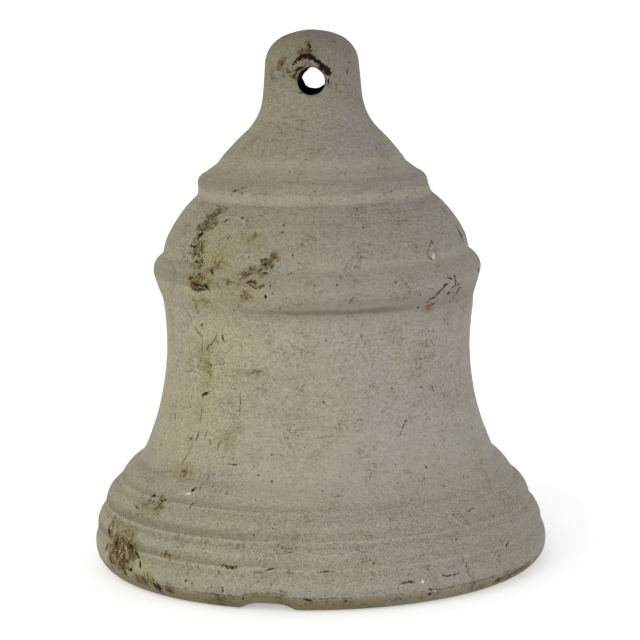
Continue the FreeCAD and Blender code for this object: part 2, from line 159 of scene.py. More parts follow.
def linear(red, green, blue):
    """A screen colour, each channel from 0 to 255, as the renderer counts it."""
    channels = []
    for value in (red, green, blue):
        share = value / 255.0
        channels.append(share / 12.92 if share <= 0.04045 else ((share + 0.055) / 1.055) ** 2.4)
    return (*channels, 1.0)


class Value:
    """What a shader node works out at each point, so that materials can be written as arithmetic."""

    def __init__(self, nodes, socket):
        self.nodes = nodes
        self.socket = socket

    def __add__(self, other):
        return self.nodes.math("ADD", self, other)

    def __sub__(self, other):
        return self.nodes.math("SUBTRACT", self, other)

    def __rsub__(self, other):
        return self.nodes.math("SUBTRACT", other, self)

    def __mul__(self, other):
        return self.nodes.math("MULTIPLY", self, other)

    def __truediv__(self, other):
        return self.nodes.math("DIVIDE", self, other)

    def __abs__(self):
        return self.nodes.math("ABSOLUTE", self)

    __radd__ = __add__
    __rmul__ = __mul__

    def rise(self, low, high, to_low=0.0, to_high=1.0):
        """A smooth step from one value to another as this one goes from low to high."""
        node = self.nodes.add("ShaderNodeMapRange")
        node.interpolation_type = "SMOOTHSTEP"
        limits = (("From Min", low), ("From Max", high), ("To Min", to_low), ("To Max", to_high))
        for name, number in limits:
            self.nodes.feed(node.inputs[name], number)
        self.nodes.feed(node.inputs["Value"], self)
        return Value(self.nodes, node.outputs[0])

    def towards(self, tone, share):
        """This colour, taken towards another by a share from 0 to 1."""
        return self.nodes.blend(share, self, linear(*tone))


class Nodes:
    """Short calls that add one shader node each to a material and hand back what it works out."""

    def __init__(self, name):
        self.material = bpy.data.materials.new(name)
        self.material.use_nodes = True
        self.tree = self.material.node_tree
        self.shader = self.tree.nodes["Principled BSDF"]

    def add(self, kind):
        return self.tree.nodes.new(kind)

    def feed(self, socket, value):
        if isinstance(value, Value):
            self.tree.links.new(value.socket, socket)
        else:
            socket.default_value = value

    def fed(self, node, values, output=0):
        """Feed a node's inputs in their order and hand back one of its outputs."""
        for socket, value in zip(node.inputs, values):
            self.feed(socket, value)
        return Value(self, node.outputs[output])

    def math(self, operation, *values):
        node = self.add("ShaderNodeMath")
        node.operation = operation
        return self.fed(node, values)

    def most(self, first, second):
        return self.math("MAXIMUM", first, second)

    def vector(self, operation, *values):
        node = self.add("ShaderNodeVectorMath")
        node.operation = operation
        return self.fed(node, values, "Value" if operation in ("DOT_PRODUCT", "LENGTH") else "Vector")

    def scaled(self, vector, factor):
        node = self.add("ShaderNodeVectorMath")
        node.operation = "SCALE"
        self.feed(node.inputs["Scale"], factor)
        return self.fed(node, [vector])

    def combine(self, x, y, z):
        return self.fed(self.add("ShaderNodeCombineXYZ"), (x, y, z))

    def split(self, vector):
        node = self.add("ShaderNodeSeparateXYZ")
        self.feed(node.inputs[0], vector)
        return [Value(self, output) for output in node.outputs]

    def noise(self, vector, size, detail=2.0, roughness=0.5, output="Fac"):
        """Cloudy noise whose clouds are about size millimetres across, from 0 to 1."""
        node = self.add("ShaderNodeTexNoise")
        self.feed(node.inputs["Vector"], vector)
        node.inputs["Scale"].default_value = 1.0 / size
        node.inputs["Detail"].default_value = detail
        node.inputs["Roughness"].default_value = roughness
        return Value(self, node.outputs[output])

    def cells(self, vector, size, output="Distance"):
        """Distance to the nearest of many scattered points, about size millimetres apart."""
        node = self.add("ShaderNodeTexVoronoi")
        self.feed(node.inputs["Vector"], vector)
        node.inputs["Scale"].default_value = 1.0 / size
        return Value(self, node.outputs[output])

    def blend(self, factor, first, second, kind="MIX"):
        """The first colour at factor 0 and the second at factor 1."""
        node = self.add("ShaderNodeMix")
        node.data_type = "RGBA"
        node.blend_type = kind
        for index, value in ((0, factor), (6, first), (7, second)):
            self.feed(node.inputs[index], value)
        return Value(self, node.outputs[2])

    def attribute(self, name):
        node = self.add("ShaderNodeAttribute")
        node.attribute_name = name
        return Value(self, node.outputs["Fac"])

    def place(self):
        """Where the point is on its own object, in millimetres."""
        coordinates = Value(self, self.add("ShaderNodeTexCoord").outputs["Object"])
        return self.scaled(coordinates, 1.0 / MM)

    def finish(self, colour, roughness, relief, strength, metallic=0.0, specular=0.5):
        """Feed the shader; the relief is how many millimetres the surface seems to stand out."""
        bump = self.add("ShaderNodeBump")
        bump.inputs["Strength"].default_value = strength
        bump.inputs["Distance"].default_value = MM
        self.feed(bump.inputs["Height"], relief)
        self.tree.links.new(bump.outputs[0], self.shader.inputs["Normal"])
        self.feed(self.shader.inputs["Base Color"], colour)
        self.feed(self.shader.inputs["Roughness"], roughness)
        self.feed(self.shader.inputs["Metallic"], metallic)
        self.feed(self.shader.inputs["Specular IOR Level"], specular)
        return self.material


class Marks:
    """Places marks on a turned surface, each given by its turn from the front and its height."""

    def __init__(self, nodes, turn, height, radius):
        self.nodes = nodes
        self.here = nodes.combine(turn, height, 0.0)
        self.stretch = nodes.combine(radius, 1.0, 0.0)

    def reach(self, turn, height, half_long, half_wide, tilt):
        """Squared distance from the middle of an oval mark, where 1 is its edge."""
        nodes = self.nodes
        lean = math.radians(tilt)
        long_way = (math.cos(lean) / half_long, math.sin(lean) / half_long, 0.0)
        wide_way = (-math.sin(lean) / half_wide, math.cos(lean) / half_wide, 0.0)
        away = nodes.vector("SUBTRACT", self.here, (math.radians(turn), height, 0.0))
        away = nodes.vector("MULTIPLY", away, self.stretch)
        along = nodes.vector("DOT_PRODUCT", away, long_way)
        aside = nodes.vector("DOT_PRODUCT", away, wide_way)
        return nodes.math("MULTIPLY_ADD", along, along, aside * aside)

    def spread(self, marks):
        """The strongest of several marks at each point: its strength in its middle, 0 outside it."""
        strongest = 0.0
        for *oval, strength in marks:
            mark = self.nodes.math("MULTIPLY_ADD", self.reach(*oval), -strength, strength)
            strongest = self.nodes.most(strongest, mark)
        return strongest

    def outline(self, marks, width):
        """A thin line round the edge of each oval mark."""
        strongest = 0.0
        for *oval, strength in marks:
            off_edge = abs(self.reach(*oval) - 1.0)
            line = self.nodes.math("MULTIPLY_ADD", off_edge, -strength / width, strength)
            strongest = self.nodes.most(strongest, line)
        return strongest


# Bell shape


def section_walk(mesh):
    """The bell's half section as (radius, height) points, from the knob's top round to the crown."""
    slice_mesh = bmesh.new()
    slice_mesh.from_mesh(mesh)
    bmesh.ops.remove_doubles(slice_mesh, verts=slice_mesh.verts, dist=1e-7)
    everything = slice_mesh.verts[:] + slice_mesh.edges[:] + slice_mesh.faces[:]
    turn = math.radians(31.0)
    across = Vector((-math.sin(turn), math.cos(turn), 0.0))
    along = Vector((math.cos(turn), math.sin(turn), 0.0))
    bmesh.ops.bisect_plane(
        slice_mesh, geom=everything, plane_co=(0, 0, 0), plane_no=across, clear_inner=True, clear_outer=True
    )
    bmesh.ops.remove_doubles(slice_mesh, verts=slice_mesh.verts, dist=2e-6)
    vertex = max((v for v in slice_mesh.verts if v.link_edges), key=lambda v: v.co.z)
    walked = []
    previous = None
    while vertex is not None:
        walked.append((vertex.co.dot(along), vertex.co.z))
        ahead = None
        for edge in vertex.link_edges:
            other = edge.other_vert(vertex)
            if other is not previous and other.co.dot(along) > -1e-6:
                if previous is not None or other.co.dot(along) > 1e-6:
                    ahead = other
        if len(walked) > 2 and walked[-1][0] < 1e-6:
            ahead = None
        previous, vertex = vertex, ahead
    slice_mesh.free()
    return np.array(walked)


def bent_through(points, step, sharpest):
    """Points every step along a curve through the given ones, with a corner wherever they turn sharply."""
    points = points[np.r_[True, np.hypot(*np.diff(points, axis=0).T) > 1e-6]]
    run = np.diff(points, axis=0)
    length = np.hypot(*run.T)
    heading = run / length[:, None]
    starts = heading.copy()
    ends = heading.copy()
    corner = np.ones(len(points), bool)
    for index in range(1, len(points) - 1):
        before, after = heading[index - 1], heading[index]
        if before.dot(after) > math.cos(sharpest):
            corner[index] = False
            mean = before * length[index] + after * length[index - 1]
            starts[index] = ends[index - 1] = mean / np.hypot(*mean)
    for index in range(len(run)):
        chord = heading[index]
        if corner[index] and not corner[index + 1]:
            starts[index] = 2 * chord.dot(ends[index]) * chord - ends[index]
        if corner[index + 1] and not corner[index]:
            ends[index] = 2 * chord.dot(starts[index]) * chord - starts[index]
    dense = []
    for index in range(len(run)):
        t = np.linspace(0, 1, max(2, int(length[index] / step)), endpoint=False)[:, None]
        a, b = points[index], points[index + 1]
        u, v = starts[index] * length[index], ends[index] * length[index]
        from_start = a * (2 * t**3 - 3 * t**2 + 1) + u * (t**3 - 2 * t**2 + t)
        dense.append(from_start + b * (3 * t**2 - 2 * t**3) + v * (t**3 - t**2))
    dense = np.vstack(dense + [points[-1:]])
    gone = np.r_[0, np.cumsum(np.hypot(*np.diff(dense, axis=0).T))]
    even = np.arange(0, gone[-1], step)
    return np.column_stack([np.interp(even, gone, dense[:, 0]), np.interp(even, gone, dense[:, 1])])


def softened(line, step, spread):
    """The same line with its corners rounded off, mirrored across the axis at both ends."""
    reach = int(4 * spread / step)
    weights = np.exp(-0.5 * (np.arange(-reach, reach + 1) * step / spread) ** 2)
    weights /= weights.sum()
    flip = np.array([-1.0, 1.0])
    padded = np.vstack([line[reach:0:-1] * flip, line, line[-2 : -reach - 2 : -1] * flip])
    return np.column_stack([np.convolve(padded[:, axis], weights, "valid") for axis in (0, 1)])


# The bell stands on its lip, about this far from the axis.
LIP_RADIUS = 115.0 * MM


class Profile:
    """The bell's half section by distance walked along it, with its outward normal and its bends."""

    def __init__(self, walk):
        step = 0.1 * MM
        line = softened(bent_through(walk, step, math.radians(14.0)), step, 0.75 * MM)
        line[0, 0] = line[-1, 0] = 0.0
        self.radius, self.height = line.T
        self.gone = np.r_[0, np.cumsum(np.hypot(*np.diff(line, axis=0).T))]
        heading = np.gradient(line, axis=0)
        heading /= np.hypot(*heading.T)[:, None]
        self.normal_across, self.normal_up = -heading[:, 1], heading[:, 0]
        broad = softened(np.column_stack([heading[:, 0], heading[:, 1]]), step, 1.2 * MM)
        turning = np.unwrap(np.arctan2(broad[:, 1], broad[:, 0]))
        self.bend = -np.gradient(turning, self.gone)
        self.foot = int(np.argmin(self.height + 1e-3 * np.abs(self.radius - LIP_RADIUS)))
        self.filled_radius, self.filled_height = softened(line, step, 7.0 * MM).T
        broad_up = softened(np.column_stack([self.gone, self.normal_up]), step, 6.0 * MM)[:, 1]
        self.under = broad_up - self.normal_up

    def at(self, gone, values):
        return np.interp(gone, self.gone, values)

    def rows(self):
        """How far along each ring of vertices lies: close together where the shape is small."""
        height = self.height
        outside = np.arange(len(height)) < self.foot
        knob = outside & (height > 262.0 * MM)
        plain_waist = outside & (height > 70.0 * MM) & (height < 146.0 * MM)
        lip = ~outside & (height < 12.0 * MM)
        boss = ~outside & (self.radius < 20.0 * MM)
        spacing = np.full(len(height), 1.5 * MM)
        for part, gap in ((knob, 0.85), (plain_waist, 2.4), (~outside, 7.0), (lip, 1.6), (boss, 2.0)):
            spacing[part] = gap * MM
        spacing = np.convolve(np.pad(spacing, 40, "edge"), np.ones(81) / 81, "valid")
        count = np.r_[0, np.cumsum(np.diff(self.gone) / spacing[1:])]
        whole = np.linspace(0, count[-1], int(round(count[-1])) + 1)
        return np.interp(whole, count, self.gone)


def ring_sizes(profile, rows):
    """How many vertices each ring has: one at the axis, few where it is small or out of sight."""
    radius = profile.at(rows, profile.radius)
    inside = rows > profile.gone[profile.foot]
    deep = inside & (profile.at(rows, profile.height) > 0.010)
    sizes = np.where((radius < 7.0 * MM) | deep, COARSE_COLUMNS, FINE_COLUMNS)
    sizes[0] = sizes[-1] = 1
    return sizes


def ring_faces(sizes):
    """Faces between successive rings; where one ring is finer, one wide face meets several edges."""
    first = np.r_[0, np.cumsum(sizes)]
    faces = []
    for ring in range(len(sizes) - 1):
        upper, lower = int(sizes[ring]), int(sizes[ring + 1])
        a, b = int(first[ring]), int(first[ring + 1])
        wide = min(upper, lower) if min(upper, lower) > 1 else max(upper, lower)
        for j in range(wide):
            top = [a] if upper == 1 else [a + k % upper for k in span(j, upper // wide)]
            bottom = [b] if lower == 1 else [b + k % lower for k in span(j, lower // wide)]
            faces.append(tuple([top[0]] + bottom + top[:0:-1]))
    return faces


def span(j, ratio):
    return range(j * ratio, (j + 1) * ratio + 1)


def new_piece(name, vertices, faces, body, slot, *nodes):
    """A mesh object that rides on a body and stands for CAD nodes; its slot is not used."""
    mesh = plain_mesh(name, vertices, faces)
    mesh.validate()
    piece = scene_object(name, mesh)
    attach(piece, body)
    if nodes:
        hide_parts(*nodes)
    return piece


def numbers(mesh, name, values):
    """Store one number on each vertex, for the shape and the material to read."""
    attribute = mesh.attributes.get(name) or mesh.attributes.new(name, "FLOAT", "POINT")
    attribute.data.foreach_set("value", np.asarray(values, np.float32))


def read_numbers(mesh, name):
    values = np.empty(len(mesh.vertices), np.float32)
    mesh.attributes[name].data.foreach_get("value", values)
    return values.astype(float)


def read_points(mesh):
    points = np.empty(3 * len(mesh.vertices), np.float32)
    mesh.vertices.foreach_get("co", points)
    return points.reshape(-1, 3).astype(float)


def refine(mesh, spots):
    """Halve the edges near some spots of the outside: each has a turn, a height and a reach."""
    turn = read_numbers(mesh, "turn")
    outside = read_numbers(mesh, "outside")
    x, y, height = read_points(mesh).T
    around = np.hypot(x, y)
    near = np.zeros(len(turn), bool)
    for spot_turn, spot_height, reach in spots:
        across = (turn - math.radians(spot_turn)) * around
        near |= np.hypot(across, height - spot_height * MM) < reach * MM
    near &= outside > 0.5
    ends = np.empty(2 * len(mesh.edges), np.int32)
    mesh.edges.foreach_get("vertices", ends)
    chosen = np.flatnonzero(near[ends.reshape(-1, 2)].all(axis=1))
    work = bmesh.new()
    work.from_mesh(mesh)
    work.edges.ensure_lookup_table()
    edges = [work.edges[index] for index in chosen]
    bmesh.ops.subdivide_edges(work, edges=edges, cuts=1, use_grid_fill=True)
    work.to_mesh(mesh)
    work.free()


def waves(rng, kind, turn, height):
    """Lumps in millimetres: a sum of waves round and along a turned piece, which closes on itself."""
    size, count, (fewest, most), lengths = kind
    total = np.zeros_like(turn)
    for _ in range(count):
        cycles = rng.integers(fewest, most + 1)
        length = rng.uniform(*lengths) * MM
        slant = rng.choice([-1.0, 1.0])
        total += np.sin(cycles * turn + slant * 2 * math.pi * height / length + rng.uniform(0, 2 * math.pi))
    return size * total / math.sqrt(count)


def hump(distance):
    """1 in the middle, 0 from distance 1 outwards, smooth at both."""
    inside = np.clip(1.0 - np.asarray(distance) ** 2, 0.0, 1.0)
    return inside * inside * (3 - 2 * inside)


def oval(turn, height, radius, feature):
    """How far each point is from an oval feature: 1 is its edge."""
    centre, up, half_across, half_up, tilt = feature
    across = (turn - math.radians(centre)) * radius / MM
    above = height / MM - up
    lean = math.radians(tilt)
    a = (across * math.cos(lean) + above * math.sin(lean)) / half_across
    b = (above * math.cos(lean) - across * math.sin(lean)) / half_up
    return np.hypot(a, b)


# Turn from the front, height, half width, half height (mm), tilt, then how far it stands out (mm).
BUMPS = [
    (50.0, 181.8, 5.4, 2.5, 62.0, 0.5),
    (50.0, 178.6, 2.6, 2.0, 62.0, 0.5),
    (42.0, 41.6, 4.8, 1.6, -38.0, 0.45),
    (41.0, 13.3, 3.4, 1.6, -56.0, 0.45),
]
# Height, how far the old casting leans to the right there, and how far it swells there, in millimetres.
UNEVEN = [
    (0, 0.0, -0.4),
    (12, -0.2, -0.6),
    (24, -0.9, 0.0),
    (36, -1.6, -0.2),
    (45, -1.9, 0.3),
    (57, -2.0, 0.7),
    (67, -0.8, 0.5),
    (90, -0.5, 0.2),
    (110, -0.1, 0.2),
    (122, 0.2, 0.2),
    (144, 0.8, 0.6),
    (158, 0.4, 0.3),
    (167, 0.3, -0.1),
    (174, -0.2, -0.4),
    (184, 0.0, 0.1),
    (195, 0.0, -0.5),
    (209, -0.5, -0.5),
    (219, -1.8, 0.1),
    (230, -1.4, 0.5),
    (241, -0.6, 0.1),
    (255, -0.6, 0.1),
    (266, -0.7, 0.0),
    (300, -0.7, 0.0),
]
# Kinds of lump: size in millimetres, how many waves, cycles round the piece, and lengths along it (mm).
SWELLS = (0.16, 12, (1, 6), (50.0, 160.0))
RIPPLES = (0.045, 24, (9, 42), (7.0, 26.0))
SCAB_GRAINS = (0.42, 30, (60, 260), (2.5, 9.0))
# Where the paint stands up in a scab: turn, height, half width, half height (mm) and tilt.
SCAB = (-56.0, 17.0, 20.0, 15.0, 0.0)
# The bite in the front of the rim: its middle, half its width and its height, in millimetres.
CHIP_ACROSS = -24.0
CHIP_REACH = 15.5
CHIP_LIFT = 3.3


def groove_fill(turn, height):
    """How far paint fills the grooves over the foot: most at the top, in front and to the right."""
    up = np.interp(height / MM, (20, 30, 42, 52, 70, 80), (0.0, 0.2, 0.55, 0.8, 0.8, 0.0))
    return up * hump((np.degrees(turn) - 22.0) / 78.0)


def rim_chip_lift(x, y, z):
    """How far the worn bite lifts the rim and the bead above it."""
    window = hump((x / MM - CHIP_ACROSS) / CHIP_REACH) ** 0.8
    fade = np.interp(z / MM, (0, 9, 30), (1.0, 0.8, 0.0))
    return CHIP_LIFT * MM * window * fade * (y < 0)


def mouth_drop(x, y, z):
    """How far the surface dips towards the hanging hole: a worn lip, and a broken dish above it."""
    across, above = x / MM, (z - HOLE_HEIGHT) / MM
    distance = np.hypot(across, above)
    around = np.degrees(np.arctan2(above, across))
    lip_width, lip_depth = 2.2, 1.5
    lip = np.clip(1.0 - (distance - HOLE_RADIUS / MM) / lip_width, 0, 1) ** 2 * lip_depth
    dish_direction, dish_width, dish_depth = 118.0, 6.0, 1.3
    dish_reach = HOLE_RADIUS / MM + dish_width * hump((around - dish_direction) / 75.0) + 0.01
    dish = hump(np.clip(distance / dish_reach, 0, 1) ** 2) * hump((around - dish_direction) / 85.0)
    dish = dish * dish_depth
    return (lip + dish * (y < 0)) * MM


def bell_points(profile, mesh):
    """Every vertex of the bell in its place: the turned profile, with its wear and its lumps."""
    gone = read_numbers(mesh, "gone")
    turn = read_numbers(mesh, "turn")
    outside = read_numbers(mesh, "outside")
    radius, height = profile.at(gone, profile.radius), profile.at(gone, profile.height)
    rng = np.random.default_rng(SEED)
    lumps = waves(rng, SWELLS, turn, height) + waves(rng, RIPPLES, turn, height)
    out = lumps * MM * np.clip(radius / (12.0 * MM), 0, 1)
    for *feature, depth in BUMPS:
        out += outside * depth * MM * hump(oval(turn, height, radius, feature))
    filled = outside * groove_fill(turn, height)
    radius += filled * (profile.at(gone, profile.filled_radius) - radius)
    height += filled * (profile.at(gone, profile.filled_height) - height)
    heights, leans, swells = zip(*UNEVEN)
    out += outside * np.interp(height / MM, heights, swells) * MM
    scab = hump(oval(turn, height, radius, SCAB))
    out += outside * scab * waves(rng, SCAB_GRAINS, turn, height) * MM
    out *= np.clip(height / (6.0 * MM), 0, 1)
    across = radius + out * profile.at(gone, profile.normal_across)
    z = height + out * profile.at(gone, profile.normal_up)
    x, y = across * np.sin(turn), -across * np.cos(turn)
    knob = outside * (z > HOLE_HEIGHT - 25 * MM) * (z < HOLE_HEIGHT + 22 * MM)
    y -= np.sign(y) * knob * np.minimum(mouth_drop(x, y, z), np.abs(y) * 0.5)
    lift = rim_chip_lift(x, y, z)
    numbers(mesh, "lift", lift)
    z = z + lift
    lean = np.interp(z / MM, heights, leans) * MM
    near_hole = hump(np.hypot(x, z - HOLE_HEIGHT) / (16.0 * MM)) * knob
    x = x + lean * (1 - near_hole) * outside
    return np.column_stack([x, y, np.maximum(z, 0.0)])


# Old crust in the bore: how deep its middle lies and how far it reaches that way (mm), its direction and
# half its width round the bore (degrees), and its thickness (mm).
BORE_CRUST = [
    (-22.5, 6.0, 140.0, 48.0, 1.7),
    (12.0, 14.0, 228.0, 40.0, 0.5),
]


def bore_cutter():
    """A rough round bore along Y, slightly waisted, with old crust standing in its upper left."""
    rng = np.random.default_rng(SEED + 1)
    around, rings = 64, 41
    angle = np.linspace(0, 2 * math.pi, around, endpoint=False)
    vertices = []
    phases = rng.uniform(0, 2 * math.pi, (6, 2))
    for y in np.linspace(-0.036, 0.036, rings):
        radius = np.full(around, HOLE_RADIUS + 0.12 * MM)
        for index, (a, b) in enumerate(phases):
            cycles = index + 2
            radius += 0.10 * MM * np.sin(cycles * angle + a) * np.sin(y / MM / 9.0 + b)
        for middle, reach, direction, half_width, thickness in BORE_CRUST:
            along = hump((y / MM - middle) / reach)
            radius -= thickness * MM * along * hump((np.degrees(angle) - direction) / half_width)
        for r, a in zip(radius, angle):
            vertices.append((r * math.cos(a), y, HOLE_HEIGHT + r * math.sin(a)))
    faces = [tuple(range(around)), tuple(reversed(range(len(vertices) - around, len(vertices))))]
    for ring in range(rings - 1):
        for j in range(around):
            a, b = ring * around + j, ring * around + (j + 1) % around
            faces.append((b, a, a + around, b + around))
    return scene_object("bore_cutter", plain_mesh("bore_cutter", vertices, faces))


def combine(piece, other, operation):
    """Cut another object out of the piece, or fuse it in, for good, and drop the other object."""
    modifier = piece.modifiers.new("combine", "BOOLEAN")
    modifier.operation = operation
    modifier.solver = "EXACT"
    modifier.object = other
    bake_modifiers(piece)
    bpy.data.objects.remove(other)


def bake_modifiers(piece):
    """Give the piece the mesh that its modifiers make, for good."""
    bpy.context.view_layer.update()
    graph = bpy.context.evaluated_depsgraph_get()
    mesh = bpy.data.meshes.new_from_object(piece.evaluated_get(graph))
    piece.modifiers.clear()
    piece.data = mesh


# Spots that carry small shapes, so their faces are made finer: turn, height, reach in millimetres.
FINE_SPOTS = [
    (0.0, 273.0, 17.0),
    (50.0, 181.0, 8.0),
    (42.0, 41.6, 6.0),
    (41.0, 13.3, 5.0),
    (-12.0, 4.0, 18.0),
    (-56.0, 17.0, 21.0),
]


# Painted shade under a ring reaches this far above the place that faces down the most.
SHADE_RISE = 2.0 * MM


def mark_profile(mesh, profile):
    """Tell the material how far along the profile each point is, and where the profile bends in or out."""
    gone = read_numbers(mesh, "gone")
    x, y, height = read_points(mesh).T
    in_bore = (np.hypot(x, height - HOLE_HEIGHT) < HOLE_RADIUS + 0.9 * MM) & (gone < 1e-6)
    bend = profile.at(gone, profile.bend) * MM
    numbers(mesh, "hollow", np.clip(-bend / 0.12, 0, 1) * ~in_bore)
    numbers(mesh, "ridge", np.clip(bend / 0.15, 0, 1) * ~in_bore)
    inner = np.clip((gone - profile.gone[profile.foot]) / (3.0 * MM), 0, 1)
    numbers(mesh, "inside", np.maximum(inner, in_bore))
    # How far each point faces down more than the profile round it, for the painted shade under the rings
    numbers(mesh, "under", profile.at(gone + SHADE_RISE, profile.under))


def bell_piece(profile):
    rows = profile.rows()
    sizes = ring_sizes(profile, rows)
    gone = np.repeat(rows, sizes)
    turn = np.concatenate([np.linspace(-math.pi, math.pi, size, endpoint=False) for size in sizes])
    radius, height = profile.at(gone, profile.radius), profile.at(gone, profile.height)
    vertices = np.column_stack([radius * np.sin(turn), -radius * np.cos(turn), height])
    piece = new_piece("bell", vertices, ring_faces(sizes), "bell", "painted_casting", BELL)
    mesh = piece.data
    numbers(mesh, "gone", gone)
    numbers(mesh, "turn", turn)
    numbers(mesh, "outside", gone < profile.gone[profile.foot])
    refine(mesh, FINE_SPOTS)
    mesh.vertices.foreach_set("co", bell_points(profile, mesh).astype(np.float32).ravel())
    combine(piece, bore_cutter(), "DIFFERENCE")
    piece.data.shade_smooth()
    mark_profile(piece.data, profile)
    piece.data.materials.clear()
    piece.data.materials.append(old_paint())
    return piece


# Old paint on the casting. A mark is: turn from the front and height of its middle (degrees and mm),
# half its length and half its width (mm), its tilt (degrees), and its strength.

CRUST = [
    # Rust and dirt caked above and beside the hanging hole
    (-20, 282, 3, 1.3, 50, 1),
    (-14, 284, 3.5, 1.6, 20, 1.2),
    (-7, 285, 4.5, 2, 5, 1.4),
    (1, 284, 4, 2, -30, 1.4),
    (8, 281.5, 3.5, 1.6, -40, 1.3),
    (14, 279, 4, 1.8, -30, 1.3),
    (20, 276.5, 2.5, 3.5, 0, 1.3),
    (-15, 278.5, 4.5, 1.4, 25, 1.2),
    (-20, 275.5, 2.5, 1, 60, 1),
    (20, 271, 4.5, 0.7, 85, 1.1),
    (-13, 265, 3, 0.6, -3, 1),
    (-3, 290, 1.2, 0.9, 30, 1.3),
    (-36, 281, 1.5, 0.9, 30, 1),
    (-42, 278, 1.4, 0.7, 10, 1),
    # Left of the shoulder
    (-49, 191, 3, 2, 35, 1.2),
    (-51, 185, 4.5, 1.2, 4, 1.1),
    (-48, 182, 2, 0.9, 60, 0.9),
    (-47, 177.5, 3, 1.3, 30, 0.9),
    (-38, 199.5, 2, 1.1, 35, 0.9),
    (-31, 201, 1.2, 0.8, 30, 1),
    # Left of the bead
    (-42, 166.5, 6.5, 0.9, -10, 1.2),
    (-41, 164, 6.5, 0.8, -2, 1.2),
    (-38, 165.5, 3, 1.4, -45, 1.2),
    (-46, 169, 2.5, 1.4, 20, 0.9),
    (-37, 173.5, 4.5, 1.3, -25, 0.8),
    # Front left of the shoulder and bead
    (-16, 174.5, 2.5, 0.9, 10, 0.9),
    (-16, 178.5, 1, 0.9, 0, 1),
    (-15, 162, 0.8, 1.6, 0, 1),
    (-20, 170, 4, 1, 15, 0.7),
    (-6, 183.5, 0.8, 0.8, 0, 1),
    # Right of the bead
    (54, 166.5, 4, 0.7, -25, 1.1),
    (57, 166.5, 2, 0.8, -65, 1),
    (52, 163.5, 3.5, 0.6, 10, 1),
    (57, 160.5, 2.5, 0.6, 35, 1),
    (60, 161.5, 2, 0.6, 15, 1),
    (46, 157, 6.5, 0.7, 30, 1),
    (47, 153.5, 5.5, 0.6, 25, 1),
    (40, 152, 1, 0.8, 0, 1),
    (55, 158, 1.5, 1.3, 0, 1.1),
    (79, 166, 2.5, 1.8, 90, 1.4),
    (77, 186, 6, 1, -85, 1.2),
    (-78, 160, 1.5, 1, 0, 1.2),
    # Waist
    (-43, 106, 5, 1, 25, 1.1),
    (-44, 143.5, 2, 1.5, 5, 0.8),
    # Left of the foot rings
    (-52, 51, 3, 1.1, 20, 0.9),
    (-47, 50.5, 3.5, 1.1, 15, 1),
    (-38, 58, 1.2, 1.8, -20, 1.1),
    (-36, 50.5, 1, 1.7, -30, 0.9),
    (-66, 27, 4, 3, -25, 1),
    (-53, 24.5, 4, 2.5, -30, 1.1),
    (-50, 21.5, 3.5, 1.4, -35, 0.9),
    (-63, 13, 5.5, 2, -30, 0.9),
    (-55, 10.5, 4.5, 2, -50, 0.9),
    (-41, 7.5, 3, 1.3, -25, 1),
    (-32, 14, 1.1, 0.9, 0, 1.1),
    (-43, 11, 0.9, 0.7, 0, 1),
    (-58, 18, 3, 1.3, 60, 1.3),
    (-48, 17, 3, 1, -70, 1.3),
    (-61, 23, 3.5, 1.1, 20, 1.3),
    (-52, 13, 2.5, 1.2, 35, 1.3),
    (-67, 19, 3, 1.2, 75, 1.2),
    (-42, 5, 2.5, 1, -20, 1.2),
    (-42, 7.5, 3, 1.4, -35, 1.3),
    # Dirt along the crease over the foot
    (-20, 24, 7, 1.4, 0, 0.9),
    (-10, 23, 5.5, 1.1, 2, 0.8),
    (3, 22.5, 5, 0.8, 0, 0.7),
    (-17, 7, 2, 0.7, 25, 1.1),
    (-7, 11, 2.5, 0.6, -10, 0.9),
    (-1, 8, 3.5, 0.9, -5, 1.1),
    (8, 7, 1, 2, 0, 0.8),
    (29, 9, 2, 0.8, -10, 1.1),
    (29, 6.5, 2, 0.7, -10, 1),
    (56, 22.5, 3, 0.7, 35, 1),
    (35, 15.5, 7, 0.7, 1, 0.7),
    (23, 14.5, 8, 0.8, -2, 0.7),
]

